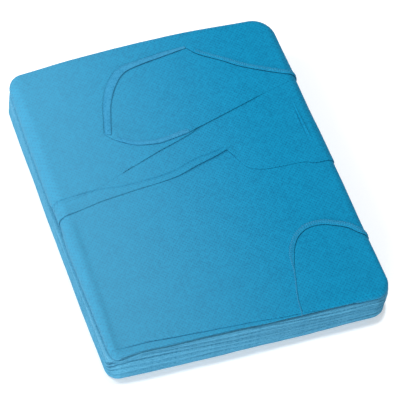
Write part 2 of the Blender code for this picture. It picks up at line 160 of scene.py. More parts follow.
FRONT_PANEL_EDGE = (
    (-0.1800, 0.0000),
    (-0.1300, 0.0055),
    (-0.1050, 0.0115),
    (-0.0790, 0.0200),
    (-0.0460, 0.0310),
    (-0.0280, 0.0370),
    (-0.0030, 0.0445),
    (0.0080, 0.0480),
    (0.0160, 0.0515),
)
LEFT_BACK_EDGE_LEFT = (
    (-0.1900, -0.0150),
    (-0.1500, -0.0115),
    (-0.1240, -0.0080),
    (-0.1060, -0.0050),
    (-0.0700, -0.0020),
    (-0.0400, 0.0000),
    (-0.0190, 0.0025),
    (0.0000, 0.0080),
    (0.0130, 0.0115),
    (0.0270, 0.0150),
    (0.0410, 0.0195),
)
LEFT_BACK_EDGE_RIGHT = (
    (0.0410, 0.0195),
    (0.0445, 0.0130),
    (0.0490, 0.0040),
    (0.0560, -0.0070),
    (0.0700, -0.0135),
    (0.0900, -0.0155),
    (0.1150, -0.0165),
    (0.1280, -0.0205),
    (0.1410, -0.0215),
    (0.1900, -0.0225),
)
ARMHOLE_SEAM = (
    (0.1900, -0.1330),
    (0.1600, -0.1235),
    (0.1450, -0.1145),
    (0.1345, -0.1050),
    (0.1210, -0.0985),
    (0.1070, -0.0940),
    (0.0900, -0.0955),
    (0.0760, -0.1060),
    (0.0665, -0.1260),
    (0.0600, -0.1520),
    (0.0570, -0.1640),
    (0.0550, -0.1780),
    (0.0540, -0.2050),
)
# Folds of lower layers that show along the front's rim, from the left
TOP_FOLD = (
    (-0.1450, -0.1747),
    (-0.1200, -0.1750),
    (-0.1065, -0.1752),
    (-0.0868, -0.1771),
    (-0.0640, -0.1785),
    (-0.0330, -0.1807),
    (0.0064, -0.1834),
    (0.0292, -0.1856),
    (0.0644, -0.1878),
    (0.0928, -0.1903),
    (0.1129, -0.1912),
)
SECOND_FOLD = (
    (-0.1420, -0.1830),
    (-0.1105, -0.1833),
    (-0.0861, -0.1836),
    (-0.0564, -0.1849),
    (-0.0236, -0.1860),
    (-0.0059, -0.1871),
    (0.0080, -0.1890),
)
# The inner line of the left back's turned hem
HEM_FOLD = (
    (-0.1600, 0.0070),
    (-0.1183, 0.0090),
    (-0.0995, 0.0088),
    (-0.0790, 0.0064),
    (-0.0506, 0.0066),
    (-0.0392, 0.0068),
    (-0.0180, 0.0100),
    (-0.0040, 0.0145),
    (0.0120, 0.0185),
    (0.0260, 0.0200),
    (0.0380, 0.0225),
)
# How much of its full height the left back's edge shows: x and share
LEFT_BACK_SHOWS = (
    (-0.1420, 0.70),
    (-0.1250, 0.20),
    (-0.0550, 0.20),
    (-0.0050, 0.95),
    (0.0400, 1.00),
    (0.0500, 0.30),
    (0.1150, 0.30),
    (0.1350, 0.60),
)
SEAM_BAND = 5.8 * MM  # width of a seam's turned edge
SEAM_BAND_START = 44 * MM  # x at which the shoulder's shows
LOWER_BINDING = 5.2 * MM  # width
BINDING_JOIN = -70.5 * MM  # x at which the lower binding starts
EDGE_UNDER_BINDING = 2.0 * MM
TUCK_CLEAR = 2.0 * MM  # cloth over a tucked edge lies flat so far past it
TUCK_SLOPE = 12.0 * MM  # and has come down here
TUCK_RISE = 0.9 * MM
FAR = 0.30  # outside the block

# Meshing
CURVE_STEP = 1.5 * MM
CREASE_STEP = 3 * MM
GRID = 1.7 * MM
HIDDEN_GRID = 9 * MM
HIDDEN_MARGIN = 8 * MM  # how far the fine grid runs on under what hides it
EDGE_CLEAR = 0.06 * MM  # least room between a panel's edge and its free points
BORDER_CLEAR = 0.3 * MM
MERGE = 1e-7
AT_ONCE = 1500  # plan points that are worked on together
ROUGH_POINTS = 60  # of a curve, to find what is near it
NOISE_CELLS = 256  # after which noise repeats
EDGE_ROWS = np.array((0.0, 0.15, 0.35, 0.6, 0.9, 1.3, 1.8, 2.5, 3.3)) * MM


# Curves and areas in the plan


def smooth_curve(points, step=CURVE_STEP):
    """Points about a step apart on a Catmull-Rom curve through the given rows."""
    rows = np.array(points, float)
    ends = np.vstack([2 * rows[0] - rows[1], rows, 2 * rows[-1] - rows[-2]])
    curve = []
    for before, a, b, after in zip(ends, ends[1:], ends[2:], ends[3:]):
        count = max(1, round(norm((b - a)[:2]) / step))
        t = (np.arange(count) / count)[:, None]
        curve.append(
            0.5 * (2 * a + (b - before) * t + (2 * before - 5 * a + 4 * b - after) * t**2)
            + 0.5 * (3 * a - before - 3 * b + after) * t**3
        )
    return np.vstack([*curve, rows[-1:]])


def left_of(curve):
    """The direction to the left of a curve at each of its points."""
    along = np.gradient(curve[:, :2], axis=0)
    along /= norm(along, axis=1)[:, None]
    return np.column_stack([-along[:, 1], along[:, 0]])


def moved_left(curve, distance):
    """The curve moved to its left by a distance, or by one distance for each point."""
    return curve[:, :2] + left_of(curve) * np.broadcast_to(distance, len(curve))[:, None]


def closed(polygon):
    """A polygon as a curve that ends where it starts."""
    return np.vstack([polygon, polygon[:1]])


def to_back(*curves):
    """The region from curves that run on from the left to the right, to far behind the block."""
    run = np.vstack([curve[:, :2] for curve in curves])
    return np.vstack([run, [(FAR, run[-1, 1]), (FAR, FAR), (-FAR, FAR), (-FAR, run[0, 1])]])


def distance_along(points):
    """How far along a line of points each of them is."""
    return np.concatenate([[0], np.cumsum(norm(np.diff(points, axis=0), axis=1))])


def inside(polygon, points):
    """Which plan points lie in a polygon."""
    found = np.zeros(len(points), bool)
    ax, ay = polygon.T
    bx, by = np.roll(polygon, -1, axis=0).T
    for first in range(0, len(points), AT_ONCE):
        x, y = points[first : first + AT_ONCE].T
        spans = (ay[:, None] > y) != (by[:, None] > y)
        row, column = np.nonzero(spans)
        share = (y[column] - ay[row]) / (by[row] - ay[row])
        right = ax[row] + share * (bx[row] - ax[row]) > x[column]
        found[first : first + AT_ONCE] = np.bincount(column[right], minlength=len(x)) % 2 == 1
    return found


def distance_to(curve, points, reach=0.03):
    """How far each plan point is from an open curve, up to a reach."""
    flat = curve[:, :2]
    result = np.full(len(points), reach)
    rough = flat[:: max(1, len(flat) // ROUGH_POINTS)]
    step = norm(np.diff(rough, axis=0), axis=1).max(initial=0.0) + 2 * CURVE_STEP
    coarse = norm(points[:, None] - rough, axis=2).min(axis=1)
    near = np.flatnonzero(coarse < reach + step)
    a, ab = flat[:-1], np.diff(flat, axis=0)
    for first in range(0, len(near), AT_ONCE):
        these = near[first : first + AT_ONCE]
        ap = points[these][:, None] - a
        share = np.clip((ap * ab).sum(2) / (ab**2).sum(1), 0, 1)
        gap = norm(ap - share[..., None] * ab, axis=2).min(axis=1)
        result[these] = np.minimum(reach, gap)
    return result


def ease(value):
    """A smooth step from 0 to 1."""
    value = np.clip(value, 0, 1)
    return value * value * (3 - 2 * value)


def noise(points, size, seed):
    """Smooth noise from -1 to 1 over plan points, with humps of about the given size."""
    table = np.random.default_rng(seed).uniform(-1, 1, (NOISE_CELLS, NOISE_CELLS))
    cells = points / size
    low = np.floor(cells).astype(int)
    x, y = (ease(cells - low)).T
    i, j = low.T % NOISE_CELLS
    k, m = (i + 1) % NOISE_CELLS, (j + 1) % NOISE_CELLS
    near = table[i, j] * (1 - x) + table[k, j] * x
    return near * (1 - y) + (table[i, m] * (1 - x) + table[k, m] * x) * y


def waves(points, rows):
    """Unevenness over plan points, from rows of height and size in mm and a seed."""
    return sum(height * MM * noise(points, size * MM, seed) for height, size, seed in rows)


def top_height(points):
    """Height of the hidden layers' top surface."""
    across = np.maximum(0, 1 - (points[:, 0] / CROWN_HALF_WIDTH) ** 2)
    along = np.maximum(0, 1 - (points[:, 1] / CROWN_HALF_DEPTH) ** 2)
    return RIM_HEIGHT + CROWN * across * along


# The block's skin


def outline():
    """Stations round the block at its widest, anticlockwise: points and outward directions."""
    corners = np.array([(x, y) for _, x, y, _, _ in CORNERS])
    arcs = []
    for i, (_, _, _, radius, _) in enumerate(CORNERS):
        here = corners[i]
        into = here - corners[i - 1]
        into /= norm(into)
        away = corners[(i + 1) % len(corners)] - here
        away /= norm(away)
        turn = math.acos(np.dot(into, away))
        centre = here - into * radius * math.tan(turn / 2) + radius * np.array((-into[1], into[0]))
        first = math.atan2(-into[0], into[1])
        angles = first + turn * np.linspace(0, 1, CORNER_STEPS + 1)
        facing = np.column_stack([np.cos(angles), np.sin(angles)])
        arcs.append((centre + radius * facing, facing))
    points, normals = [], []
    for i, (arc, facing) in enumerate(arcs):
        points.extend(arc)
        normals.extend(facing)
        start, end = arc[-1], arcs[(i + 1) % len(arcs)][0][0]
        count = round(norm(end - start) / STATION_SPACING)
        for k in range(1, count):
            share = k / count
            bow = CORNERS[i][-1] * math.sin(math.pi * share)
            points.append(start + share * (end - start) + bow * facing[-1])
            normals.append(facing[-1])
    return np.array(points), np.array(normals)


def shares_of_sides(normals):
    """How much each station belongs to the front, right, back and left."""
    x, y = normals[:, 0], normals[:, 1]
    return np.column_stack(
        [(y * (y < 0)) ** 2, (x * (x > 0)) ** 2, (y * (y > 0)) ** 2, (x * (x < 0)) ** 2]
    )


class Skin:
    """The flat top and the rounded fold round it, as a plan and as a form."""

    def __init__(self):
        self.widest, self.normals = outline()
        self.sides = shares_of_sides(self.normals)
        steps = norm(np.roll(self.widest, -1, axis=0) - self.widest, axis=1)
        self.travelled = np.concatenate([[0], np.cumsum(steps)[:-1]])
        self.perimeter = steps.sum()
        places = np.array([(x, y) for _, x, y, _ in RIM_FOLDS])
        away = norm(self.widest[:, None] - places, axis=2)
        at = self.travelled[away.argmin(axis=0)]
        order = np.argsort(at)
        radii = np.array([radius for *_, radius in RIM_FOLDS])
        self.outer = np.interp(self.travelled, at[order], radii[order], period=self.perimeter)
        front = self.sides[:, 0]
        self.radius = self.outer - (STACK_FRONT * front + STACK_ELSEWHERE * (1 - front))
        self.line = self.widest - self.normals * self.outer[:, None]
        self.height = top_height(self.line)
        self.plan = np.stack([self.line + self.normals * (self.radius * t)[:, None] for t in FOLD_ROWS])
        base, facing = [], []
        for turn in FOLD_ROWS:
            flat = self.line + self.normals * (self.radius * math.sin(turn))[:, None]
            base.append(np.column_stack([flat, self.height - self.radius * (1 - math.cos(turn))]))
            up = np.full(len(flat), math.cos(turn))
            facing.append(np.column_stack([self.normals * math.sin(turn), up]))
        self.base, self.facing = np.vstack(base), np.vstack(facing)
        self.border = self.plan[-1]
        self.triangles = ring_triangles(len(FOLD_ROWS), len(self.line))
        flat = [(x, y, 0.0) for x, y in self.plan.reshape(-1, 2)]
        self.tree = BVHTree.FromPolygons(flat, self.triangles.tolist())

    def place(self, points, lift):
        """Where plan points lie in space, at a lift from the hidden layers."""
        lift = np.broadcast_to(lift, len(points))
        where = np.column_stack([points, top_height(points) + lift])
        outside = np.flatnonzero(~inside(self.line, points))
        if len(outside):
            found = [self.tree.find_nearest((x, y, 0.0)) for x, y in points[outside]]
            hits = np.array([hit[0][:2] for hit in found])
            corners = self.triangles[[hit[2] for hit in found]]
            flat = self.plan.reshape(-1, 2)[corners]
            shares = barycentric(flat, hits)[..., None]
            base = (self.base[corners] * shares).sum(axis=1)
            facing = (self.facing[corners] * shares).sum(axis=1)
            facing /= norm(facing, axis=1)[:, None]
            where[outside] = base + facing * lift[outside][:, None]
        return where


def ring_triangles(rows, count):
    """The triangles between closed rings of points, one ring after another."""
    here = np.arange(count)
    there = (here + 1) % count
    found = []
    for row in range(rows - 1):
        a, b = row * count + here, row * count + there
        c, d = b + count, a + count
        found += [np.column_stack([a, d, c]), np.column_stack([a, c, b])]
    return np.vstack(found)


def barycentric(triangles, points):
    """The shares of each triangle's corners in a plan point."""
    a, b, c = triangles[:, 0], triangles[:, 1], triangles[:, 2]
    ab, ac, ap = b - a, c - a, points - a
    area = ab[:, 0] * ac[:, 1] - ab[:, 1] * ac[:, 0]
    second = (ap[:, 0] * ac[:, 1] - ap[:, 1] * ac[:, 0]) / area
    third = (ab[:, 0] * ap[:, 1] - ab[:, 1] * ap[:, 0]) / area
    return np.column_stack([1 - second - third, second, third])


skin = Skin()
core_low, core_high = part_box("folded_core")
middle = (skin.widest.min(axis=0) + skin.widest.max(axis=0)) / 2
SHIFT = np.array(((core_low.x + core_high.x) / 2, (core_low.y + core_high.y) / 2)) - middle


# Curves that several pieces share

neck = smooth_curve(NECKLINE)
lower_neck = smooth_curve(LOWER_NECKLINE)
tucked = smooth_curve(TUCKED_EDGE)
right_back_edge = smooth_curve(RIGHT_BACK_EDGE)
shoulder = smooth_curve(SHOULDER_SEAM)
front_edge = smooth_curve(FRONT_PANEL_EDGE)
armhole = smooth_curve(ARMHOLE_SEAM)
left_back_edge = np.vstack([smooth_curve(LEFT_BACK_EDGE_LEFT), smooth_curve(LEFT_BACK_EDGE_RIGHT)[1:]])
top_fold = smooth_curve(TOP_FOLD)
second_fold = smooth_curve(SECOND_FOLD)
hem_fold = smooth_curve(HEM_FOLD)
NECK_LINE_SHOWS = slice(3, -8)  # the points of the binding's outer edge that draw a line
neck_line = moved_left(neck, neck[:, 2])[NECK_LINE_SHOWS]

# Narrow creases along the right rim: three places along each, then its height and half width, mm
NARROW_CREASES = (
    (130, 68, 132, 30, 135, -4, 0.95, 0.8),
    (127, 50, 128, 37, 127, 22, 0.60, 0.7),
    (129, 66, 130, 36, 131, -5, -0.75, 0.7),
)
# Soft creases in the cloth on top, in rows of the same kind
SOFT_CREASES = (
    (28, 146, -3, 107, -41, 65, 0.50, 3.2),
    (80, 108, 82, 88, 88, 78, 0.42, 2.2),
    (98, 103, 101, 94, 103, 85, 0.40, 2.2),
    (90, 62, 100, 51, 92, 28, 0.45, 2.6),
    (57, 59, 59, 41, 71, 30, 0.40, 2.4),
    (60, 30, 57, 20, 52, 12, 0.35, 2.0),
    (-53, 43, -61, 37, -68, 31, 0.30, 2.4),
    (-124, 9, -90, 9, -50, 5, 0.70, 3.6),
    (134, 74, 138, 36, 139, -6, 0.45, 1.2),
    (40, 21, 44, 12, 49, 2, 0.50, 1.1),
    (44, 22, 49, 12, 53, 2, 0.40, 1.3),
    (65, -186, 103, -182, 138, -180, 0.45, 1.3),
    (112, -42, 128, -36, 146, -24, 0.45, 2.2),
    (118, -58, 132, -62, 149, -52, 0.38, 2.0),
    (122, -74, 134, -84, 146, -74, 0.42, 1.8),
    (10, 128, -4, 122, -20, 119, 0.22, 3.0),
    (44, 120, 52, 100, 50, 82, 0.25, 3.4),
    (-112, 150, -108, 118, -120, 90, 0.30, 4.0),
    (-134, 60, -122, 44, -98, 36, 0.26, 3.6),
    (-60, 162, -20, 160, 18, 164, 0.24, 3.0),
    (78, 150, 96, 136, 124, 130, 0.30, 3.2),
    (-128, -46, -112, -66, -118, -96, 0.30, 3.6),
    (-70, -40, -30, -52, 12, -44, 0.26, 4.2),
    (-96, -124, -60, -132, -20, -120, 0.28, 4.0),
    (16, -84, 34, -110, 28, -146, 0.32, 3.2),
    (88, -112, 108, -126, 138, -130, 0.40, 3.0),
    (74, -150, 100, -158, 130, -152, 0.34, 2.6),
    (-40, -160, -8, -154, 30, -160, 0.24, 2.8),
)
# Short puckers: place, length, direction in degrees, height and half width, mm
PUCKERS = (
    (-101, -172, 16, 96, 0.50, 1.6),
    (-93, -171, 13, 84, 0.42, 1.3),
    (-86, -173, 15, 100, 0.50, 1.5),
    (-76, -172, 12, 88, 0.36, 1.4),
    (-139, -10, 22, 14, 0.60, 1.5),
    (-136, -20, 18, -22, 0.50, 1.4),
    (-132, 2, 18, 30, 0.46, 1.6),
    (-148, -28, 20, -48, 0.45, 1.4),
    (-146, 8, 16, 62, 0.40, 1.4),
    (140, -98, 18, 150, 0.40, 1.4),
    (148, -140, 22, 120, 0.44, 1.6),
    (136, -164, 20, 60, 0.46, 1.8),
    (118, 160, 20, 40, 0.42, 1.8),
    (-142, 158, 20, 130, 0.46, 1.7),
)
TOP_WAVES = ((0.35, 46.0, 3), (0.12, 13.0, 8))  # uneven stretches: height and size, mm, and seed
PUCKER_BEND = 0.12  # share of its length
RIDGE_TAPER = 0.45  # share of a ridge's length over which each end runs out
RIDGE_REACH = 4  # in half widths


def crease_line(row):
    """The plan curve of a soft crease's row."""
    x0, y0, x1, y1, x2, y2 = row[:6]
    return smooth_curve(np.array(((x0, y0), (x1, y1), (x2, y2))) * MM, CREASE_STEP)


def pucker_line(row):
    """The plan curve of a pucker's row."""
    x, y, length, degrees = row[:4]
    turn = math.radians(degrees)
    along = 0.5 * length * np.array((math.cos(turn), math.sin(turn)))
    bend = PUCKER_BEND * length * np.array((-along[1], along[0])) / norm(along)
    return smooth_curve(np.array(((x, y) - along, (x, y) + bend, (x, y) + along)) * MM, CREASE_STEP)


def ridge(points, curve, height, half_width):
    """A soft ridge along a curve, highest in its middle and gone at both ends."""
    reach = RIDGE_REACH * half_width
    away = distance_to(curve, points, reach)
    ends = norm(points[:, None] - curve[[0, -1], :2], axis=2).min(axis=1)
    length = norm(np.diff(curve[:, :2], axis=0), axis=1).sum()
    taper = ease(ends / (RIDGE_TAPER * length))
    return height * taper * np.exp(-((away / half_width) ** 2)) * (away < reach)


def relief(points):
    """The cloth's soft unevenness, which every layer on the block shares."""
    total = waves(points, TOP_WAVES)
    for row in (*SOFT_CREASES, *NARROW_CREASES):
        total += ridge(points, crease_line(row), row[6] * MM, row[7] * MM)
    for row in PUCKERS:
        total += ridge(points, pucker_line(row), row[4] * MM, row[5] * MM)
    return total


# Lifts of the layers

ROLL_RADIUS = 0.95 * MM  # of the fold along the left back's lower edge
ROLL_BULGE = 0.9 * MM  # how much higher the cloth is there than further in
ROLL_REACH = 13 * MM
HEM_RADIUS = 0.45 * MM  # of the narrow turned edges
# Lines sunk into the cloth: depth, half width, and the size and seed of their unevenness
HEM_CREASE = (1.3 * MM, 1.1 * MM, 15 * MM, 52)
NECK_LINE = (0.60 * MM, 0.9 * MM, 15 * MM, 52)
SEAM_GROOVE = (0.72 * MM, 0.75 * MM, 17 * MM, 51)
SUNK_SHARE = 0.8  # of such a depth on average, and how much it varies
SUNK_UNEVEN = 0.35
HEM_SHOWS_FROM = -79 * MM  # x at which the upper front's edge comes clear of the layer below
HEM_SHOWS_FULL = -45 * MM
DIAGONAL_SHOWS_TO = 84 * MM  # x at which the right back's edge starts to sink, and is gone
DIAGONAL_GONE = 108 * MM
SUNK_REACH = 14 * MM  # how far a sunk edge draws the cloth behind it down
SEAM_SOFT_FROM = -0.120  # y below which the armhole's seam is nearly flat
SEAM_SOFT_OVER = 20 * MM
SEAM_SOFT = 0.85  # share of its groove that is gone there
NECK_DIP = 0.5 * MM  # the right back dips this much beside the neck's binding
NECK_DIP_WIDTH = 1.5 * MM
# The folds at the front's rim: x, then depth of the crease, mm
TOP_FOLD_DEPTHS = ((-0.145, 0.6), (-0.128, 2.2), (-0.090, 2.8), (-0.030, 2.0), (0.050, 1.8), (0.113, 1.8))
SECOND_FOLD_DEPTHS = ((-0.142, 0.4), (-0.120, 2.2), (-0.060, 1.8), (0.008, 1.4))
FOLD_STEP = 0.85 * MM  # how much lower the layer beyond such a fold lies at most
FOLD_STEP_SHARE = 0.6  # of the crease's depth, where that is less
FOLD_REACH = 20 * MM  # how far a fold's table of depths holds
FOLD_NOSE = 1.7 * MM  # over what distance the cloth rounds into the crease
FOLD_RISE = 1.2 * MM  # and the next layer rounds out of it
LEFT_SWELL = 2.3 * MM  # how far the lower front swells out over the block's left rim
LEFT_SWELL_X = (-138 * MM, -149 * MM)  # where that starts and is full
LEFT_SWELL_Y = (-12 * MM, -40 * MM)


def level(number):
    """The lift of the outer surface of a panel that lies on the given number of others."""
    return GAP + number * PITCH + CLOTH


def left_back_shows(points):
    """The share of its full height that the left back's edge has along its length."""
    x, share = np.transpose(LEFT_BACK_SHOWS)
    return np.interp(points[:, 0], x, share)


def bulge(points):
    """How much the fold along the left back's edge lifts it and what lies on it."""
    near = 1 - ease(distance_to(left_back_edge, points) / ROLL_REACH)
    return ROLL_BULGE * near * left_back_shows(points)


def sunk(points, curve, shows):
    """How far cloth lies below its level behind an edge that shows only in part."""
    near = 1 - ease(distance_to(curve, points) / SUNK_REACH)
    return (1 - shows) * near * (PITCH - 0.5 * SHELL)


def rounded(points, curve, radius):
    """How far a rounded edge along a curve falls below the cloth behind it."""
    away = distance_to(curve, points, radius)
    return np.sqrt(np.maximum(0, radius**2 - (radius - away) ** 2)) - radius


def sunk_line(points, curve, depth, half_width, size, seed):
    """A soft line sunk into the cloth along a curve, deeper in some places than in others."""
    uneven = SUNK_SHARE + SUNK_UNEVEN * noise(points, size, seed)
    return -depth * uneven * np.exp(-((distance_to(curve, points) / half_width) ** 2))


def fold_steps(points):
    """How far the cloth falls at the front's rim, where lower layers' folds show."""
    total = np.zeros(len(points))
    for curve, depths in ((top_fold, TOP_FOLD_DEPTHS), (second_fold, SECOND_FOLD_DEPTHS)):
        x, depth = np.transpose(depths)
        depth = MM * np.interp(points[:, 0], x, depth, left=0.0, right=0.0)
        step = np.minimum(FOLD_STEP, FOLD_STEP_SHARE * depth)
        beyond = np.interp(points[:, 0], curve[:, 0], curve[:, 1]) - points[:, 1]
        nose = np.clip(1 + beyond / FOLD_NOSE, 0, 1)
        rise = np.clip(1 - beyond / FOLD_RISE, 0, 1)
        fall = np.where(beyond < 0, depth * (1 - np.sqrt(1 - nose**2)), 0.0)
        fall += np.where(beyond >= 0, depth - (depth - step) * np.sqrt(1 - rise**2), 0.0)
        total += fall * (np.abs(points[:, 1] - curve[:, 1].mean()) < FOLD_REACH)
    return -total


def left_swell(points):
    """How far the lower front swells out over the block's left rim."""
    x_share = ease((points[:, 0] - LEFT_SWELL_X[0]) / (LEFT_SWELL_X[1] - LEFT_SWELL_X[0]))
    y_share = ease((points[:, 1] - LEFT_SWELL_Y[0]) / (LEFT_SWELL_Y[1] - LEFT_SWELL_Y[0]))
    return LEFT_SWELL * x_share * y_share


def tuck_rise(points):
    """How much higher cloth lies where it passes over the upper front's tucked edge."""
    first, last = TUCKED_EDGE[0], TUCKED_EDGE[-1]
    over = np.array([*TUCKED_EDGE, (last[0], 0.0), (2 * first[0], 0.0), (2 * first[0], first[1])])
    away = np.where(inside(over, points), 0.0, distance_to(closed(over), points))
    return TUCK_RISE * (1 - ease((away - TUCK_CLEAR) / (TUCK_SLOPE - TUCK_CLEAR)))


def lower_front_base(points):
    """The lift of the front at its lower part, without its seam."""
    return level(0) + relief(points) + fold_steps(points) + left_swell(points)


def lower_front_lift(points):
    soft = 1 - SEAM_SOFT * ease((SEAM_SOFT_FROM - points[:, 1]) / SEAM_SOFT_OVER)
    return lower_front_base(points) + soft * sunk_line(points, armhole, *SEAM_GROOVE)


def left_back_lift(points):
    shows = left_back_shows(points)
    flat = level(1) + relief(points) + bulge(points) + sunk_line(points, hem_fold, *HEM_CREASE)
    edge = shows * rounded(points, left_back_edge, ROLL_RADIUS)
    return flat + edge - sunk(points, left_back_edge, shows)


def hem_step(points):
    """The share of its full step that the upper front's lower edge has along its length."""
    return ease((points[:, 0] - HEM_SHOWS_FROM) / (HEM_SHOWS_FULL - HEM_SHOWS_FROM))


def over_left_back(points):
    """The lift of flat cloth on the left back."""
    return level(2) + relief(points) + bulge(points)


def upper_front_lift(points):
    shows = hem_step(points)
    flat = over_left_back(points) + sunk_line(points, hem_fold, *HEM_CREASE)
    edge = shows * rounded(points, front_edge, HEM_RADIUS)
    seam = sunk_line(points, shoulder, *SEAM_GROOVE)
    round_neck = sunk_line(points, neck_line, *NECK_LINE)
    return flat + edge - sunk(points, front_edge, shows) + seam + round_neck


def right_back_lift(points):
    shows = 1 - ease((points[:, 0] - DIAGONAL_SHOWS_TO) / (DIAGONAL_GONE - DIAGONAL_SHOWS_TO))
    flat = over_left_back(points) + tuck_rise(points)
    dip = NECK_DIP * np.exp(-((distance_to(neck, points) / NECK_DIP_WIDTH) ** 2))
    edge = shows * rounded(points, right_back_edge, HEM_RADIUS)
    seam = sunk_line(points, shoulder, *SEAM_GROOVE)
    return flat - dip + edge - sunk(points, right_back_edge, shows) + seam


# Meshes


def new_piece(name, space, faces, cloth_plan, material):
    """A piece that rides on the block, with its cloth's flat coordinates for the weave."""
    mesh = bpy.data.meshes.new(name)
    placed = np.array(space, float)
    placed[:, :2] += SHIFT
    mesh.from_pydata(placed.tolist(), [], faces)
    flat = mesh.attributes.new("cloth_plan", "FLOAT_VECTOR", "POINT")
    cloth = np.zeros((len(placed), 3))
    cloth[:, : cloth_plan.shape[1]] = cloth_plan
    flat.data.foreach_set("vector", cloth.ravel())
    mesh.shade_smooth()
    mesh.materials.append(material)
    made = bpy.data.objects.new(name, mesh)
    bpy.context.scene.collection.objects.link(made)
    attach(made, "root")
    return made


def thicken(piece, thickness=SHELL):
    """Gives a sheet its thickness, inward."""
    solid = piece.modifiers.new("thickness", "SOLIDIFY")
    solid.thickness = thickness
    solid.offset = -1.0
    solid.use_quality_normals = True


def grid_faces(rows, columns):
    """The faces between rows of points that have the same number each."""
    i, j = np.meshgrid(np.arange(rows - 1), np.arange(columns - 1), indexing="ij")
    a = (i * columns + j).ravel()
    return np.column_stack([a, a + columns, a + columns + 1, a + 1]).tolist()


def grid_in(polygon, spacing):
    """A square grid of plan points over a polygon's box."""
    low, high = polygon.min(axis=0), polygon.max(axis=0)
    x, y = np.meshgrid(np.arange(low[0], high[0], spacing), np.arange(low[1], high[1], spacing))
    return np.column_stack([x.ravel(), y.ravel()])


def plan_points(region, edges, under):
    """Free points for a panel's mesh: rows beside its edges, a grid, and rows round the fold."""
    near = [moved_left(curve, side * row) for curve in edges for row in EDGE_ROWS for side in (1, -1)]
    near = np.vstack(near) if near else np.zeros((0, 2))
    core = grid_in(skin.line, GRID)
    core = core[inside(skin.line - skin.normals * 0.5 * GRID, core)]
    fold = skin.plan[:-1].reshape(-1, 2)
    rest = np.vstack([core, fold])
    for curve in edges:
        rest = rest[distance_to(curve, rest, reach=0.01) > EDGE_ROWS[-1] + 0.4 * GRID]
    if under is not None:
        covered, borders = under
        deep = inside(covered, rest)
        for curve in borders:
            deep &= distance_to(curve, rest) > HIDDEN_MARGIN
        rest = np.vstack([rest[~deep], hidden_grid(rest[deep])])
    points = np.vstack([near, rest])
    points = points[inside(region, points) & inside(skin.border, points)]
    clear = distance_to(closed(region), points, reach=0.002) > EDGE_CLEAR
    return points[clear & (distance_to(closed(skin.border), points, reach=0.002) > BORDER_CLEAR)]


def hidden_grid(points):
    """A sparse choice of the points that other cloth hides."""
    cells = np.floor(points / HIDDEN_GRID).astype(int)
    _, first = np.unique(cells, axis=0, return_index=True)
    return points[np.sort(first)]


def panel(node, region, edges, lift, under=None, folded=None, radius=0.0, share=None):
    """A node's cloth over a region of the plan. Its edge along folded turns under with a radius."""
    free = plan_points(region, edges, under)
    border, count = skin.border, len(skin.border)
    points = np.vstack([border, region, free])
    edge_list = [(k, (k + 1) % count) for k in range(count)]
    edge_list += [(count + k, count + (k + 1) % len(region)) for k in range(len(region))]
    piece = list(range(count, count + len(region)))
    x, y = region.T
    if (x * np.roll(y, -1) - y * np.roll(x, -1)).sum() < 0:
        piece.reverse()
    flat, _, faces, origins, _, sources = delaunay_2d_cdt(
        [Vector(p) for p in points], edge_list, [list(range(count)), piece], 0, MERGE, True
    )
    kept = [face for face, source in zip(faces, sources) if {0, 1} <= set(source)]
    used = sorted({i for face in kept for i in face})
    place = {old: new for new, old in enumerate(used)}
    plan = np.array([tuple(flat[i]) for i in used])
    triangles = [[place[i] for i in face] for face in kept]
    lifts = lift(plan)
    space = skin.place(plan, lifts)
    if folded is not None:
        came_from = {source: place[i] for i in used for source in origins[i]}
        rows = [came_from.get(count + k) for k in range(len(folded))]
        extra = turned_under(folded, rows, lifts, radius, share, len(plan))
        space = np.vstack([space, extra[0]])
        plan = np.vstack([plan, extra[1]])
        triangles += extra[2]
    made = new_piece(f"{node}_cloth", space, triangles, plan, top_cloth)
    thicken(made)
    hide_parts(node)
    return made


UNDER_TURNS = np.radians((105, 120, 135, 150, 165, 180))
UNDER_LEAF = 5 * MM  # how far a turned edge runs back underneath
UNDER_FROM = 0.02  # share of the full height below which an edge isn't turned under


def turned_under(curve, rows, lifts, radius, share, first):
    """The rows that turn under a panel's edge, joined to its points along that edge."""
    kept = [k for k in range(len(curve)) if rows[k] is not None]
    kept = [k for k in kept if share is None or share(curve[k : k + 1])[0] > UNDER_FROM]
    into = left_of(curve)[kept]
    scale = np.ones(len(kept)) if share is None else share(curve[kept])
    edge_lift = lifts[[rows[k] for k in kept]]
    offsets = [(radius * (1 - math.sin(a)), radius * math.cos(a)) for a in UNDER_TURNS]
    offsets.append((UNDER_LEAF, offsets[-1][1]))
    space, plan, faces = [], [], []
    for inward, fall in offsets:
        flat = curve[kept][:, :2] + into * (inward * scale)[:, None]
        space.append(skin.place(flat, edge_lift + fall * scale))
        plan.append(curve[kept][:, :2] - into * (inward * scale + radius)[:, None])
    here = [rows[k] for k in kept]
    for row in range(len(offsets)):
        there = [first + row * len(kept) + i for i in range(len(kept))]
        for i in range(len(kept) - 1):
            if kept[i + 1] == kept[i] + 1:
                faces.append([here[i], there[i], there[i + 1], here[i + 1]])
        here = there
    return np.vstack(space), np.vstack(plan), faces


# Materials


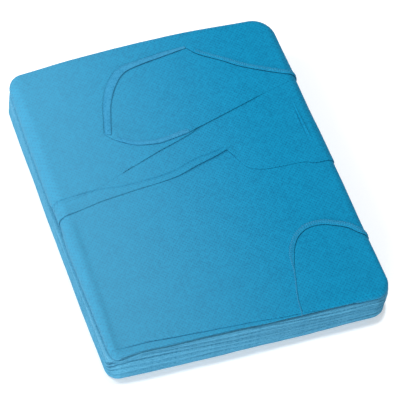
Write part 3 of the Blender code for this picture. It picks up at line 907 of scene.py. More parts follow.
class Nodes:
    """A material's node tree, with short calls for what the cloths need."""

    def __init__(self, name):
        self.material = bpy.data.materials.new(name)
        self.material.use_nodes = True
        self.tree = self.material.node_tree
        self.shader = self.tree.nodes["Principled BSDF"]

    def wire(self, node, inputs):
        """Links the inputs that other nodes give, and sets the others."""
        for key, value in inputs.items():
            if isinstance(value, bpy.types.NodeSocket):
                self.tree.links.new(value, node.inputs[key])
            else:
                node.inputs[key].default_value = value
        return node

    def add(self, kind, inputs=(), **settings):
        node = self.tree.nodes.new(kind)
        for key, value in settings.items():
            setattr(node, key, value)
        return self.wire(node, dict(inputs))

    def math(self, operation, a, b):
        return self.add("ShaderNodeMath", {0: a, 1: b}, operation=operation).outputs[0]

    def vector(self, operation, inputs):
        node = self.add("ShaderNodeVectorMath", inputs, operation=operation)
        return node.outputs["Value" if operation == "LENGTH" else "Vector"]

    def spread(self, value, low, high, to_low=0.0, to_high=1.0):
        inputs = {0: value, 1: low, 2: high, 3: to_low, 4: to_high}
        return self.add("ShaderNodeMapRange", inputs, interpolation_type="SMOOTHSTEP").outputs[0]

    def noise(self, where, scale, detail=3.0, rough=0.55):
        inputs = {"Vector": where, "Scale": scale, "Detail": detail, "Roughness": rough}
        return self.add("ShaderNodeTexNoise", inputs).outputs["Fac"]

    def mix(self, share, a, b):
        return self.add("ShaderNodeMix", {0: share, 6: a, 7: b}, data_type="RGBA").outputs["Result"]

    def cloth_plan(self):
        return self.add("ShaderNodeAttribute", attribute_name="cloth_plan").outputs["Vector"]


BOND_PITCH = 3.0  # mm between the embossed points, along their diagonal rows
BOND_EDGE = (0.34, 0.14)  # where a point's hollow starts and is full, as shares of the pitch
BOND_FLAT = (1.0, 1.25, 0.0)  # a point is a little wider than it is long
BOND_DEPTH = 0.16 * MM
BOND_SHADE = 0.55
# Scales of the texture, for a millimetre: fibres one way and the other, clouds and patches
FIBRES_ACROSS = (0.35, 2.6, 1.0)
FIBRES_ALONG = (2.4, 0.45, 1.0)
CLOUD_SCALE = 0.055
PATCH_SCALE = 0.26
CLOUDS = 0.14  # how much of the shade each takes
PATCHES = 0.42
FIBRES = 0.5
PAINTED_HAZE = (0.14, 0.345, 0.465)  # painted haze: a paler colour that the cloth fades towards at its left, painted light that stands in for a reflection
PAINTED_HAZE_FROM = 110.0  # x in mm where that starts and is full
PAINTED_HAZE_FULL = -170.0


def nonwoven(name, deep, light, bond=1.0, painted_haze=0.0):
    """Matte spunbond cloth: embossed points in diamonds, fine fibres and slightly cloudy thickness."""
    n = Nodes(name)
    in_mm = n.vector("SCALE", {0: n.cloth_plan(), "Scale": 1 / MM})
    turn = {"Vector": in_mm, "Angle": math.radians(45)}
    turned = n.add("ShaderNodeVectorRotate", turn, rotation_type="Z_AXIS").outputs[0]
    cells = n.vector("FRACTION", {0: n.vector("SCALE", {0: turned, "Scale": 1 / BOND_PITCH})})
    centred = n.vector("SUBTRACT", {0: cells, 1: (0.5, 0.5, 0.0)})
    flat = n.vector("MULTIPLY", {0: centred, 1: BOND_FLAT})
    point = n.spread(n.vector("LENGTH", {0: flat}), *BOND_EDGE)
    across = n.vector("MULTIPLY", {0: in_mm, 1: FIBRES_ACROSS})
    along = n.vector("MULTIPLY", {0: in_mm, 1: FIBRES_ALONG})
    fibres = n.math("ADD", n.noise(across, 1.0, 4.0, 0.6), n.noise(along, 1.0, 4.0, 0.6))
    clouds = n.spread(n.noise(in_mm, CLOUD_SCALE, 2.0, 0.5), 0.3, 0.7, 0.0, CLOUDS)
    patches = n.spread(n.noise(in_mm, PATCH_SCALE, 3.0, 0.6), 0.3, 0.7, 0.0, PATCHES)
    shade = n.math("ADD", n.math("ADD", clouds, patches), n.spread(fibres, 0.7, 1.3, 0.0, FIBRES))
    shade = n.math("SUBTRACT", shade, n.math("MULTIPLY", point, BOND_SHADE * bond))
    colour = n.mix(n.spread(shade, -0.3, 0.9), (*deep, 1.0), (*light, 1.0))
    # Painted haze: the colour fades towards a paler one to the left, a painted reflection of light
    if painted_haze:
        x = n.add("ShaderNodeSeparateXYZ", {0: in_mm}).outputs["X"]
        colour = n.mix(n.spread(x, PAINTED_HAZE_FROM, PAINTED_HAZE_FULL, 0.0, painted_haze), colour, (*PAINTED_HAZE, 1.0))
    uneven = n.math("ADD", fibres, n.math("MULTIPLY", point, -0.5 * bond))
    height = n.math("SUBTRACT", n.math("MULTIPLY", fibres, 0.30), n.math("MULTIPLY", point, bond))
    relief = {"Strength": 0.6, "Distance": BOND_DEPTH, "Height": height}
    looks = {
        "Base Color": colour,
        "Roughness": n.spread(uneven, 0.4, 1.4, 0.6, 0.84),
        "Normal": n.add("ShaderNodeBump", relief).outputs[0],
        "Sheen Weight": 0.02,
        "Sheen Roughness": 0.5,
        "Specular IOR Level": 0.06,
    }
    n.wire(n.shader, looks)
    return n.material


THREAD_TWIST = 1.4 * MM
THREAD_DEEP = (0.004, 0.17, 0.33, 1.0)
THREAD_LIGHT = (0.030, 0.28, 0.47, 1.0)


def thread_material():
    """Polyester sewing thread with its twist."""
    n = Nodes("sewing_thread")
    twist = {"Vector": n.cloth_plan(), "Scale": 1 / THREAD_TWIST}
    wave = n.add("ShaderNodeTexWave", twist, bands_direction="DIAGONAL")
    pale = n.spread(wave.outputs["Fac"], 0.2, 0.9)
    relief = {"Strength": 0.5, "Distance": 0.05 * MM, "Height": pale}
    looks = {
        "Base Color": n.mix(pale, THREAD_DEEP, THREAD_LIGHT),
        "Normal": n.add("ShaderNodeBump", relief).outputs[0],
        "Roughness": 0.5,
        "Sheen Weight": 0.1,
    }
    n.wire(n.shader, looks)
    return n.material


# The top cloth is faded by the painted haze towards its left (its last number)
top_cloth = nonwoven("nonwoven_top", (0.001, 0.130, 0.265), (0.003, 0.222, 0.405), 1.0, 0.3)
# The sides' cloth is a paler copy of the top's: painted light for the brighter light on the block's sides
side_cloth_painted_light = nonwoven("nonwoven_side_painted_light", (0.030, 0.200, 0.340), (0.085, 0.320, 0.490), 0.7)
# The tape's cloth has its own tone and is also made paler to match the painted haze on the cloth round it
tape_cloth_painted_haze = nonwoven("nonwoven_tape_painted_haze", (0.016, 0.165, 0.310), (0.040, 0.250, 0.430), 0.7)
seam_cloth = nonwoven("nonwoven_seam", (0.003, 0.145, 0.290), (0.009, 0.235, 0.420), 0.7)
thread = thread_material()


# The panels

FRONT_SHOWS = slice(0, -3)  # the points of the upper front's edge that are clear of its corner
hidden_by_back = (to_back(left_back_edge), [left_back_edge])
hidden_by_front = (to_back(front_edge[:-1], right_back_edge), [front_edge, right_back_edge])

seam_side = moved_left(armhole, -GAP / 2)
left_of_seam = [(seam_side[-1, 0], -FAR), (-FAR, -FAR), (-FAR, FAR), (FAR, FAR), (FAR, seam_side[0, 1])]
front_panel_lower = panel(
    "front_panel_lower",
    np.vstack([seam_side, left_of_seam]),
    [armhole, top_fold, second_fold],
    lower_front_lift,
    under=hidden_by_back,
)
seam_side = moved_left(armhole, GAP / 2)
sleeve_right = panel(
    "sleeve_right",
    np.vstack([seam_side, [(seam_side[-1, 0], -FAR), (FAR, -FAR), (FAR, seam_side[0, 1])]]),
    [armhole, top_fold, second_fold],
    lower_front_lift,
)
back_panel_left = panel(
    "back_panel_left",
    to_back(left_back_edge),
    [left_back_edge, hem_fold, *(crease_line(row) for row in NARROW_CREASES)],
    left_back_lift,
    under=hidden_by_front,
    folded=left_back_edge,
    radius=ROLL_RADIUS,
    share=left_back_shows,
)
neck_side = moved_left(neck, EDGE_UNDER_BINDING)
neck_side = neck_side[neck_side[:, 1] > TUCKED_EDGE[0][1] + CLOTH]
seam_side = moved_left(shoulder, GAP / 2)[1:]
front_panel_upper = panel(
    "front_panel_upper",
    to_back(front_edge[:-1], tucked[::-1], neck_side, seam_side),
    [front_edge[FRONT_SHOWS], shoulder, neck_line, hem_fold],
    upper_front_lift,
    folded=front_edge[:-1],
    radius=HEM_RADIUS,
    share=hem_step,
)
neck_side = moved_left(neck, EDGE_UNDER_BINDING - GAP)
neck_side = neck_side[neck_side[:, 1] > TUCKED_EDGE[0][1] - CLOTH]
seam_side = moved_left(shoulder, -GAP / 2)
back_panel_right = panel(
    "back_panel_right",
    np.vstack([lower_neck, right_back_edge, seam_side[::-1], neck_side[::-1]]),
    [right_back_edge, shoulder, neck],
    right_back_lift,
)


# Strips: bindings and turned seam edges


class Strip:
    """A narrow piece along a curve. Places on it are distances along and to the curve's left."""

    def __init__(self, curve, across, rises, base):
        into = left_of(curve)
        flat = curve[:, None, :2] + into[:, None] * across[..., None]
        kept = inside(skin.border, flat.reshape(-1, 2)).reshape(across.shape).all(axis=1)
        self.curve, self.into, self.flat = curve[kept, :2], into[kept], flat[kept]
        self.across = across[kept]
        lifts = base(self.flat.reshape(-1, 2)).reshape(self.across.shape)
        self.lifts = lifts + rises[kept]
        self.along = distance_along(self.curve)
        self.top_from = int(self.across[0].argmin())

    def build(self, node, ending, thickness, material, slot):
        """The strip as the piece that replaces a node."""
        rows, columns = self.across.shape
        space = skin.place(self.flat.reshape(-1, 2), self.lifts.ravel())
        steps = norm(np.diff(space.reshape(rows, columns, 3), axis=1), axis=2)
        girth = np.column_stack([np.zeros(rows), np.cumsum(steps, axis=1)])
        cloth = np.column_stack([np.repeat(self.along, columns), girth.ravel()])
        faces = grid_faces(rows, columns)
        made = new_piece(f"{node}_{ending}", space, faces, cloth, material)
        thicken(made, thickness)
        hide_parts(node)
        return made

    def at(self, along, across):
        """Plan places and lifts on the strip's upper face."""
        row = np.interp(along, self.along, np.arange(len(self.along)))
        low = np.minimum(row.astype(int), len(self.along) - 2)
        share = row - low
        curve = self.curve[low] + (self.curve[low + 1] - self.curve[low]) * share[..., None]
        into = self.into[low] + (self.into[low + 1] - self.into[low]) * share[..., None]
        top = slice(self.top_from, None)
        found = np.empty(len(low))
        for k, (i, d, s) in enumerate(zip(low, across, share)):
            here = np.interp(d, self.across[i, top], self.lifts[i, top])
            found[k] = here + s * (np.interp(d, self.across[i + 1, top], self.lifts[i + 1, top]) - here)
        return curve + into * across[..., None], found


STITCH_TIMES = np.linspace(0, 1, 7)
STITCH_SIDES = 5
STITCH_DIVE = 0.35 * MM  # how deep a stitch's ends go into the cloth


def stitches(name, strip, starts, ends, radius, arch):
    """Short threads over a strip, from places to places on it, both ends in the cloth."""
    count, steps = len(starts), len(STITCH_TIMES)
    route = starts[:, None] + (ends - starts)[:, None] * STITCH_TIMES[None, :, None]
    plan, lift = strip.at(route[..., 0].ravel(), route[..., 1].ravel())
    over = np.sin(math.pi * STITCH_TIMES) ** 0.5
    lift = lift + np.tile((arch + STITCH_DIVE) * over - STITCH_DIVE, count)
    here = skin.place(plan, lift).reshape(count, steps, 3)
    out = skin.place(plan, lift + MM).reshape(count, steps, 3) - here
    tangent = np.gradient(here, axis=1)
    tangent /= norm(tangent, axis=2)[..., None]
    chord = (here[:, -1] - here[:, 0])[:, None]
    side = np.cross(out[:, steps // 2][:, None], chord)
    side /= norm(side, axis=2)[..., None]
    side = np.broadcast_to(side, here.shape)
    up = np.cross(tangent, side)
    angles = 2 * math.pi * np.arange(STITCH_SIDES) / STITCH_SIDES
    ring = [here + radius * (math.cos(a) * side + math.sin(a) * up) for a in angles]
    space = np.stack(ring, axis=2).reshape(-1, 3)
    faces = []
    for k in range(count):
        for i in range(steps - 1):
            row = (k * steps + i) * STITCH_SIDES
            for s in range(STITCH_SIDES):
                a, b = row + s, row + (s + 1) % STITCH_SIDES
                faces.append((a, b, b + STITCH_SIDES, a + STITCH_SIDES))
    length = np.repeat(norm(here - here[:, :1], axis=2).ravel(), STITCH_SIDES)
    cloth = np.column_stack([length, np.tile(angles * radius, count * steps)])
    return new_piece(name, space, faces, cloth, thread)


BINDING_STEP = 0.8 * MM
TAPE = 0.3 * MM  # thickness
STITCH_LINE = 1.3 * MM  # from a binding's outer edge to its row of stitches
STITCH_LENGTH = 2.6 * MM
STITCH_GAP = 0.35 * MM
STITCH_RADIUS = 0.15 * MM
STITCH_ARCH = 0.10 * MM
TAPE_UNDER = (2.4 * MM, 1.3 * MM)  # places of the tape's leaf underneath
NOSE_TURNS = np.radians(np.arange(-90, 91, 30))
# The tape's face: share of the way to the stitches, and of the fall from its crest to there
TAPE_FACE = ((0.25, 0.0), (0.55, 0.1), (0.8, 0.3), (0.93, 0.6))
# Its stitched line: how far past the stitches, and how much lower than its outer part
TAPE_DENT = ((0.0, 0.28 * MM), (0.35 * MM, 0.10 * MM), (0.8 * MM, 0.0), (1.1 * MM, 0.1 * MM))
TAPE_EDGE_DROP = 0.3 * MM
TAPE_WAVES = ((0.16, 2.7, 21), (0.14, 7.0, 22))


def binding(curve, width, radius, floor, crest, outer):
    """Places across a folded tape and their rises: under leaf, round nose, face, stitch line."""
    under = [(place, floor) for place in TAPE_UNDER]
    nose = [(radius * (1 - math.cos(a)), floor + radius * (1 + math.sin(a))) for a in NOSE_TURNS]
    row, across, rises = np.ones(len(width)), [], []
    for distance, rise in under + nose:
        across.append(distance * row)
        rises.append(rise * row)
    behind = width - STITCH_LINE
    for share, fall in TAPE_FACE:
        across.append(radius + (behind - radius) * share)
        rises.append((crest + (outer - crest) * fall) * row)
    for past, drop in TAPE_DENT:
        across.append(behind + past)
        rises.append((outer - drop) * row)
    across.append(width)
    rises.append((outer - TAPE_EDGE_DROP) * row)
    across, rises = np.column_stack(across), np.column_stack(rises)
    points = (curve[:, None, :2] + left_of(curve)[:, None] * across[..., None]).reshape(-1, 2)
    face = slice(len(under) + 2, None)
    rises[:, face] += waves(points, TAPE_WAVES).reshape(across.shape)[:, face]
    return across, rises


def lockstitch(name, strip, from_edge):
    """A row of short stitches a set distance in from a strip's outer edge."""
    starts = np.arange(2 * MM, strip.along[-1] - STITCH_LENGTH, STITCH_LENGTH)
    places = np.interp(starts, strip.along, strip.across[:, -1]) - from_edge
    start = np.column_stack([starts, places])
    end = start + (STITCH_LENGTH - STITCH_GAP, 0.0)
    return stitches(name, strip, start, end, STITCH_RADIUS, STITCH_ARCH)


CUT_END = 0.35  # how full the upper binding is at its cut end
END_FALL = 0.55 * MM  # how much lower the lower one is where the diagonal edge crosses it


def end_share(curve, end, reach):
    """How full a strip is along its curve, which runs out over a reach from one end."""
    return ease(norm(curve[:, :2] - curve[end, :2], axis=1) / reach)


upper_curve = smooth_curve(NECKLINE, BINDING_STEP)
width = upper_curve[:, 2] + waves(upper_curve[:, :2], [(0.35, 9, 31)])
sizes = {"radius": 0.50 * MM, "floor": 0.20 * MM, "crest": 1.20 * MM, "outer": 0.62 * MM}
across, rises = binding(upper_curve, width, **sizes)
full = CUT_END + (1 - CUT_END) * end_share(upper_curve, 0, 2.5 * MM)
rises *= (end_share(upper_curve, -1, 9 * MM) * full)[:, None]
upper_strip = Strip(upper_curve, across, rises, lambda p: over_left_back(p) + tuck_rise(p))
neck_binding = upper_strip.build("neck_binding", "tape", TAPE, tape_cloth_painted_haze, "binding")
neck_stitches = lockstitch("neck_binding_stitches", upper_strip, STITCH_LINE)

lower_curve = smooth_curve(LOWER_NECKLINE, BINDING_STEP)
lower_curve = lower_curve[lower_curve[:, 0] > BINDING_JOIN]
width = LOWER_BINDING + waves(lower_curve, [(0.3, 8, 32)])
sizes = {"radius": 0.72 * MM, "floor": 0.22 * MM, "crest": 1.85 * MM, "outer": 1.35 * MM}
across, rises = binding(lower_curve, width, **sizes)
rises -= ((1 - end_share(lower_curve, -1, 10 * MM)) * END_FALL)[:, None]
lower_strip = Strip(lower_curve, across, rises, over_left_back)
neck_binding_lower = lower_strip.build("neck_binding_lower", "tape", TAPE, tape_cloth_painted_haze, "binding")
lower_stitches = lockstitch("neck_binding_lower_stitches", lower_strip, STITCH_LINE)

BAND_STEP = 0.5 * MM
BAND_CLOTH = 0.4 * MM  # thickness
OVERLOCK_PITCH = 2.4 * MM
OVERLOCK_RADIUS = 0.14 * MM
OVERLOCK_ARCH = 0.12 * MM
NEEDLE_LINE = 1.7 * MM  # from the seam to the overlock's needle thread
NEEDLE_SHARE = 0.4  # of the band's width, where that is less
SHOULDER_HEIGHT = 0.8  # share of the full band
SLIM_BAND = 0.34  # share of the armhole's band that shows in its lower part
SLIM_OVER = 22 * MM
BEAT_STRAY = 0.9  # of the stitches' beat, in radians
EDGE_BEAT = 0.30 * MM  # how far each stitch draws the edge in, and the band up
SWELL_BEAT = 0.20 * MM
EDGE_WAVES = ((0.35, 7, 42),)
SWELL_WAVES = ((0.18, 5, 43),)
# The overlock's threads, from the edge: its legs, its chain and the chain's second thread
LEG_LINE = 0.15 * MM
CHAIN_LINE = 0.35 * MM
SECOND_START = (0.15 * MM, -0.45 * MM)
SECOND_FALL = 0.35 * MM
NEEDLE_GAP = 0.3 * MM
# Across a seam's band: share of its width, rise in mm, and how much of the swell it takes
BAND_ROWS = (
    (0.00, 0.06, 0.0),
    (0.05, 0.45, 0.1),
    (0.14, 0.78, 0.3),
    (0.25, 0.72, 0.6),
    (0.30, 0.66, 0.8),
    (0.42, 0.92, 1.0),
    (0.58, 1.02, 1.0),
    (0.74, 0.98, 1.0),
    (0.88, 0.86, 0.9),
    (0.96, 0.66, 0.6),
    (1.00, 0.44, 0.3),
)


def seam_band(curve, base, slim):
    """A seam's turned, overlocked edge, drawn in at every stitch. Slim narrows and flattens it."""
    flat = curve[:, :2]
    stray = BEAT_STRAY * noise(flat, 12 * MM, 41)
    beat = np.cos(2 * math.pi * distance_along(flat) / OVERLOCK_PITCH + stray)
    width = SEAM_BAND + EDGE_BEAT * beat + waves(flat, EDGE_WAVES)
    across = np.column_stack([width * slim * share for share, _, _ in BAND_ROWS])
    swell = SWELL_BEAT * beat + waves(flat, SWELL_WAVES)
    rises = np.column_stack([(rise * MM + swell * part) * slim for _, rise, part in BAND_ROWS])
    return Strip(curve, across, rises, base)


def overlock(name, strip):
    """Needle stitches, legs to the edge and back, and the chain of two threads along the edge."""
    starts = np.arange(OVERLOCK_PITCH, strip.along[-1] - 2 * OVERLOCK_PITCH, OVERLOCK_PITCH)
    edge = np.interp(starts, strip.along, strip.across[:, -1])
    needle_at = np.minimum(NEEDLE_LINE, NEEDLE_SHARE * edge)
    needle = np.column_stack([starts, needle_at])
    after = np.column_stack([starts + OVERLOCK_PITCH, needle_at])
    near_edge = np.column_stack([starts + 0.5 * OVERLOCK_PITCH, edge - LEG_LINE])
    chain = np.column_stack([starts, edge - CHAIN_LINE])
    threads = (
        (needle, after - (NEEDLE_GAP, 0.0)),
        (needle, near_edge),
        (near_edge, after),
        (chain, chain + (OVERLOCK_PITCH, 0.0)),
        (chain + SECOND_START, chain + (OVERLOCK_PITCH, -SECOND_FALL)),
    )
    start, end = (np.vstack(ends) for ends in zip(*threads))
    return stitches(name, strip, start, end, OVERLOCK_RADIUS, OVERLOCK_ARCH)


shoulder_curve = smooth_curve(SHOULDER_SEAM, BAND_STEP)
shoulder_curve = shoulder_curve[shoulder_curve[:, 0] > SEAM_BAND_START]
shoulder_strip = seam_band(shoulder_curve, over_left_back, np.full(len(shoulder_curve), SHOULDER_HEIGHT))
shoulder_seam = shoulder_strip.build("shoulder_seam", "edge", BAND_CLOTH, seam_cloth, "seam_edge")
shoulder_threads = overlock("shoulder_seam_overlock", shoulder_strip)

armhole_curve = smooth_curve(ARMHOLE_SEAM, BAND_STEP)[::-1]
slim = 1 - (1 - SLIM_BAND) * ease((SEAM_SOFT_FROM - armhole_curve[:, 1]) / SLIM_OVER)
armhole_strip = seam_band(armhole_curve, lower_front_base, slim)
armhole_seam = armhole_strip.build("armhole_seam", "edge", BAND_CLOTH, seam_cloth, "seam_edge")
armhole_threads = overlock("armhole_seam_overlock", armhole_strip)


# The sides: packets of folded layers, each with the folds of its plies

SIDE_STEP = 1.45 * MM
SIDE_START = np.array((-0.03, 0.18))  # near the middle of the back, where each cloth's ends meet
LEAF = 9 * MM  # how far a packet's cloth runs on into the crease above and below it
LEAF_RISE = (1.2 * MM, 0.2 * MM)  # the end of its upper leaf is so much higher: top one, others
LEAF_FALL = 0.1 * MM
FLOOR_LIP = 0.35 * MM  # height of the lowest layer's edge
FLOOR_LIP_SHARE = 0.55  # of the underside's inset at which it lies
PACKET_ROUND = 2.0 * MM  # height over which a packet rounds into its creases
# Where each packet's plies part, as shares of its height from the top
PLIES = (
    (0.46,),
    (0.30, 0.66),
    (0.22, 0.52, 0.80),
    (0.18, 0.42, 0.70),
    (0.26, 0.50, 0.80),
    (0.20, 0.47, 0.74),
)
PLY_ROWS = (0.0, 0.07, 0.2, 0.4, 0.6, 0.8, 0.93)  # shares of a ply's height
NOSE_POWER = 3  # how square a ply's fold is
# How the plies and creases vary round the block: share and size in mm
CUT_STRAY = ((0.06, 70), (0.025, 22))
NOSE_STRAY = ((1.0, 60), (0.3, 16))
PARTING_STRAY = ((0.6, 34),)
OPENING_STRAY = ((0.35, 24),)
NOSE_MEAN = 0.9
PARTING_MEAN = 0.7
WANDER_TURNS = 5  # how often the top crease strays in a lap, and how far the next is shifted
WANDER_SHIFT = 2.1
# By side, front, right, back and left: how deep plies part, how uneven their folds are, and half
# the opening of a crease, mm
PLY_DEPTH = np.array((0.85, 0.30, 0.80, 0.28)) * MM
PLY_UNEVEN = np.array((0.60, 0.35, 0.60, 0.30)) * MM
CREASE_OPEN = np.array((0.45, 0.28, 0.45, 0.28)) * MM
SIDE_WAVES = ((0.50, 55.0, 61), (0.14, 15.0, 62))  # height and size, mm, and seed
# Where the creases run on the front: x, then the height of each from the top one down, mm
FRONT_CREASES = (
    (-150, 49.0, 48.0, 37.5, 24.5, 12.0),
    (-100, 47.5, 43.3, 34.7, 23.0, 11.5),
    (-55, 47.0, 40.3, 32.2, 21.5, 10.8),
    (-20, 48.0, 37.4, 28.8, 20.0, 10.4),
    (14, 46.9, 35.7, 27.6, 18.8, 10.0),
    (34, 43.4, 33.6, 26.2, 18.0, 9.6),
    (66, 40.4, 31.8, 24.8, 17.2, 9.2),
    (90, 37.4, 30.0, 23.6, 16.4, 8.8),
    (150, 36.0, 28.0, 21.8, 15.0, 8.0),
)
CREASE_WIDTHS = (0.9, 1.7, 1.5, 0.7, 0.8)  # how open each crease is, from the top one down
TOP_CREASE_FROM = -6 * MM  # x from which the top one shows on the front
TOP_CREASE_OVER = 15 * MM
TOP_CREASE_HIDDEN = 0.85  # share of it that is gone to the left of that


class Stations:
    """Even stations round the block, starting at the back, with what the sides need at each."""

    def __init__(self):
        start = norm(skin.widest - SIDE_START, axis=1).argmin()
        count = round(skin.perimeter / SIDE_STEP)
        self.along = np.linspace(0, skin.perimeter, count + 1)
        at = skin.travelled[start] + self.along

        def here(values):
            return np.interp(at, skin.travelled, values, period=skin.perimeter)

        self.widest = np.column_stack([here(column) for column in skin.widest.T])
        normals = np.column_stack([here(column) for column in skin.normals.T])
        self.normals = normals / norm(normals, axis=1)[:, None]
        self.sides = shares_of_sides(self.normals)
        self.sides /= self.sides.sum(axis=1)[:, None]
        self.outer = here(skin.outer)
        self.fold_bottom = here(skin.height - skin.radius - skin.outer)
        self.lap = 2 * math.pi * here(np.arange(len(skin.widest)) / len(skin.widest))
        past = ease((self.widest[:, 0] - TOP_CREASE_FROM) / TOP_CREASE_OVER)
        self.top_shows = 1 - TOP_CREASE_HIDDEN * self.sides[:, 0] * (1 - past)

    def crease_levels(self):
        """Height, depth and opening of each crease, from the top one down."""
        places = np.array(FRONT_CREASES) * MM
        ceiling = self.fold_bottom
        for number, row in enumerate(CREASES):
            front = np.interp(self.widest[:, 0], places[:, 0], places[:, 1 + number])
            height = self.sides[:, 0] * front + self.sides[:, 1:] @ np.array(row[:3])
            turns = (WANDER_TURNS + number) * self.lap + WANDER_SHIFT * number
            height = height + WANDER * np.sin(turns)
            height = np.minimum(height, ceiling - 2 * CREASE_LIP)
            ceiling = height - CREASE_LIP
            depth = self.sides @ np.array(row[3:])
            shows = np.full(len(depth), CREASE_WIDTHS[number])
            if number == 0:
                depth, shows = depth * self.top_shows, shows * self.top_shows
            yield height, depth, shows

    def uneven(self, size, seed, z=0.0):
        """Noise from -1 to 1 that runs on round the block and varies with height."""
        return noise(self.widest + np.column_stack([3 * z, -2 * z]) + 10.0, size * MM, seed)

    def strayed(self, value, rows, seed):
        """A value that varies round the block, by rows of strength and size in mm."""
        for strength, size in rows:
            value = value + strength * self.uneven(size, seed)
        return value

    def place(self, inset, z):
        """Points round the block at an inset and a height."""
        flat = self.widest - self.normals * inset[:, None]
        return np.column_stack([flat, z])


def round_in(height, depth):
    """How far in a packet's face is at a height from its edge, where that edge is a depth in."""
    share = 1 - np.clip(height / PACKET_ROUND, 0, 1)
    return depth * (1 - np.sqrt(1 - share**2))


def packet_rows(stations, number, top, bottom, above, below):
    """Insets and heights of a packet's face, row by row from its top."""
    tall = top - bottom
    depth = stations.sides @ PLY_DEPTH
    rough = stations.sides @ PLY_UNEVEN
    seed = 100 + 20 * number
    cuts = [np.zeros(len(top))]
    for k, share in enumerate(PLIES[number]):
        cuts.append(stations.strayed(share, CUT_STRAY, seed + k))
    cuts.append(np.ones(len(top)))
    noses, parting = [], []
    for k in range(len(cuts)):
        noses.append(rough * stations.strayed(NOSE_MEAN, NOSE_STRAY, seed + 5 + k))
        parting.append(depth * stations.strayed(PARTING_MEAN, PARTING_STRAY, seed + 10 + k))
    noses.pop()
    floors = [np.maximum(a, b) for a, b in zip([noses[0], *noses], [*noses, noses[-1]])]
    rows = []
    for k, nose in enumerate(noses):
        for u in PLY_ROWS if k < len(noses) - 1 else [*PLY_ROWS, 1.0]:
            z = top - tall * (cuts[k] + u * (cuts[k + 1] - cuts[k]))
            edge = k if u < 0.5 else k + 1
            reach = abs(2 * u - 1) ** NOSE_POWER
            inset = nose + (floors[edge] + parting[edge] - nose) * reach
            inset = inset + round_in(top - z, above) + round_in(z - bottom, below)
            for height, size, wave in SIDE_WAVES:
                inset = inset + height * MM * stations.uneven(size, wave, z)
            rows.append((inset, z))
    return rows


def packet(stations, number, top, bottom, above, below, on_floor):
    """One packet's cloth all round the block, and the size it is cut to."""
    rows = packet_rows(stations, number, top, bottom, above, below)
    first, last = rows[0], rows[-1]
    rows.insert(0, (first[0] + 0.5 * LEAF, top + LEAF_RISE[1]))
    rows.insert(0, (first[0] + LEAF, top + LEAF_RISE[number > 0]))
    if on_floor:
        rows[-1] = (np.maximum(last[0], FLOOR_LIP_SHARE * UNDERSIDE_INSET), bottom + FLOOR_LIP)
        rows.append((np.full(len(top), UNDERSIDE_INSET), bottom))
        rows.append((np.full(len(top), UNDERSIDE_INSET + LEAF), bottom))
    else:
        rows.append((last[0] + 0.5 * LEAF, bottom - LEAF_FALL))
        rows.append((last[0] + LEAF, bottom - LEAF_FALL))
    space = np.stack([stations.place(*row) for row in rows])
    down = norm(np.diff(space, axis=0), axis=2).mean(axis=1)
    down = np.concatenate([[0], np.cumsum(down)])
    count = len(stations.along)
    cloth = np.column_stack([np.tile(stations.along, len(rows)), np.repeat(down, count)])
    faces = grid_faces(len(rows), count)
    name = f"folded_layers_{number + 1}"
    made = new_piece(name, space.reshape(-1, 3), faces, cloth, side_cloth_painted_light)
    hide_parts("folded_core")
    return made, (skin.perimeter, float(down[-1]))


UNDER_RIM = 0.35  # how far in the top packet starts, as a share of the rim fold's radius
FLOOR_ROUND = 0.3  # how far in the lowest packet ends, as a share of the underside's inset


def all_packets():
    """The packets from the top one down, and the size each is cut to."""
    stations = Stations()
    opening = stations.sides @ CREASE_OPEN
    top = stations.fold_bottom - opening * stations.top_shows
    above = UNDER_RIM * stations.outer * stations.top_shows
    found = []
    for number, (height, depth, shows) in enumerate(stations.crease_levels()):
        gap = opening * shows * stations.strayed(1, OPENING_STRAY, 80 + number)
        found.append(packet(stations, number, top, height + gap, above, depth, False))
        top, above = height - gap, depth
    number, floor = len(CREASES), np.zeros(len(top))
    below = FLOOR_ROUND * UNDERSIDE_INSET + floor
    found.append(packet(stations, number, top, floor, above, below, True))
    return found


packets = all_packets()
UNDERSIDE_OVERLAP = 2 * MM  # how far in from the lowest packet's flat leaf the underside starts
UNDERSIDE_GRID = 6 * MM
UNDERSIDE_HEIGHT = 0.35 * MM


def underside():
    """The lowest layer, flat on what the block lies on."""
    inset = UNDERSIDE_INSET + UNDERSIDE_OVERLAP
    ring = skin.widest - skin.normals * inset
    grid = grid_in(ring, UNDERSIDE_GRID)
    grid = grid[inside(skin.widest - skin.normals * (inset + UNDERSIDE_OVERLAP), grid)]
    points = np.vstack([ring, grid])
    edges = [(k, (k + 1) % len(ring)) for k in range(len(ring))]
    flat, _, faces, _, _, _ = delaunay_2d_cdt([Vector(p) for p in points], edges, [], 1, MERGE, True)
    plan = np.array([tuple(p) for p in flat])
    height = UNDERSIDE_HEIGHT + waves(plan, [(0.12, 30, 71)])
    space = np.column_stack([plan, height])
    downward = [face[::-1] for face in faces]
    made = new_piece("folded_layers_underside", space, downward, plan, side_cloth_painted_light)
    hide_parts("folded_core")
    return made


bottom_sheet = underside()


# What the sheets are cut to


def cut_of(piece):
    """A panel's flat extent and area, from its cloth coordinates."""
    mesh = piece.data
    flat = np.zeros(3 * len(mesh.vertices))
    mesh.attributes["cloth_plan"].data.foreach_get("vector", flat)
    flat = flat.reshape(-1, 3)[:, :2]
    area = 0.0
    for face in mesh.polygons:
        x, y = flat[list(face.vertices)].T
        area += abs((x * np.roll(y, -1) - y * np.roll(x, -1)).sum()) / 2
    extent = flat.max(axis=0) - flat.min(axis=0)
    return tuple(float(e) for e in extent), float(area)


def folded_sheet(piece):
    """Works out the flat extent and area of a sheet whose cut isn't a rectangle; nothing uses them."""
    flat, area = cut_of(piece)


folded_sheet(bottom_sheet)
folded_sheet(front_panel_lower)
folded_sheet(sleeve_right)
folded_sheet(back_panel_left)
folded_sheet(front_panel_upper)
folded_sheet(back_panel_right)


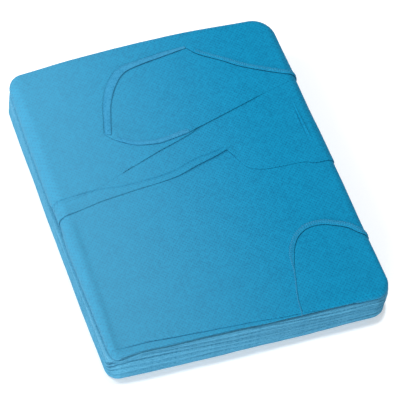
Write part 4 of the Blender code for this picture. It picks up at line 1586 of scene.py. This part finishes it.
# Camera, light and floor

AZIMUTH, ELEVATION, ROLL = np.radians((-26.2, 59.4, 9.1))
DISTANCE = 2.6
SENSOR = 36.0
FOCAL_SHARE = 2401.6 / 400  # focal length as a share of the frame's width
LOOK_AT = np.array((8.1, -2.1)) * MM


def make_camera():
    """A camera that looks down on the block from the front left, a little turned."""
    data = bpy.data.cameras.new("camera")
    data.sensor_width = SENSOR
    data.lens = SENSOR * FOCAL_SHARE
    made = bpy.data.objects.new("camera", data)
    bpy.context.scene.collection.objects.link(made)
    level_turn = Matrix.Rotation(AZIMUTH, 4, "Z") @ Matrix.Rotation(math.pi / 2 - ELEVATION, 4, "X")
    made.matrix_world = (
        Matrix.Translation((*(LOOK_AT + SHIFT), 0.0))
        @ level_turn
        @ Matrix.Rotation(ROLL, 4, "Z")
        @ Matrix.Translation((0.0, 0.0, DISTANCE))
    )
    bpy.context.scene.camera = made


FLOOR_SIZE = 12.0
FLOOR_GLOW = 0.16  # the floor is lit from below as well, as white product tables are


def make_floor():
    """A plain pale floor."""
    n = Nodes("floor")
    where = n.add("ShaderNodeTexCoord").outputs["Object"]
    looks = {
        "Base Color": n.mix(n.noise(where, 3.0), (0.92, 0.92, 0.92, 1.0), (0.94, 0.94, 0.94, 1.0)),
        "Roughness": 0.9,
        "Emission Color": (1.0, 0.99, 0.98, 1.0),
        "Emission Strength": FLOOR_GLOW,
    }
    n.wire(n.shader, looks)
    bpy.ops.mesh.primitive_plane_add(size=FLOOR_SIZE)
    made = bpy.context.object
    made.name = "floor"
    made.data.materials.append(n.material)


# Lights: name, place, size of the square and power in watts
LIGHTS = (
    ("overhead", (0.09, 0.20, 2.60), 0.25, 36.0),
    ("key", (-0.57, 0.43, 0.64), 0.35, 5.0),
    ("fill", (-0.80, -1.35, 0.35), 0.9, 19.0),
)
SKY = (0.97, 0.985, 1.0, 1.0)
SKY_STRENGTH = 0.42


def area_light(name, where, size, power):
    """A square light that faces the block."""
    data = bpy.data.lights.new(name, "AREA")
    data.shape = "SQUARE"
    data.size = size
    data.energy = power
    made = bpy.data.objects.new(name, data)
    bpy.context.scene.collection.objects.link(made)
    made.location = where
    made.rotation_euler = (-Vector(where)).to_track_quat("-Z", "Y").to_euler()


def make_light():
    """Even light from all round, with three soft lights."""
    world = bpy.data.worlds.new("soft_studio")
    world.use_nodes = True
    background = world.node_tree.nodes["Background"]
    background.inputs["Color"].default_value = SKY
    background.inputs["Strength"].default_value = SKY_STRENGTH
    bpy.context.scene.world = world
    for row in LIGHTS:
        area_light(*row)
    bpy.context.scene.view_settings.view_transform = "Standard"


make_camera()
make_floor()
make_light()
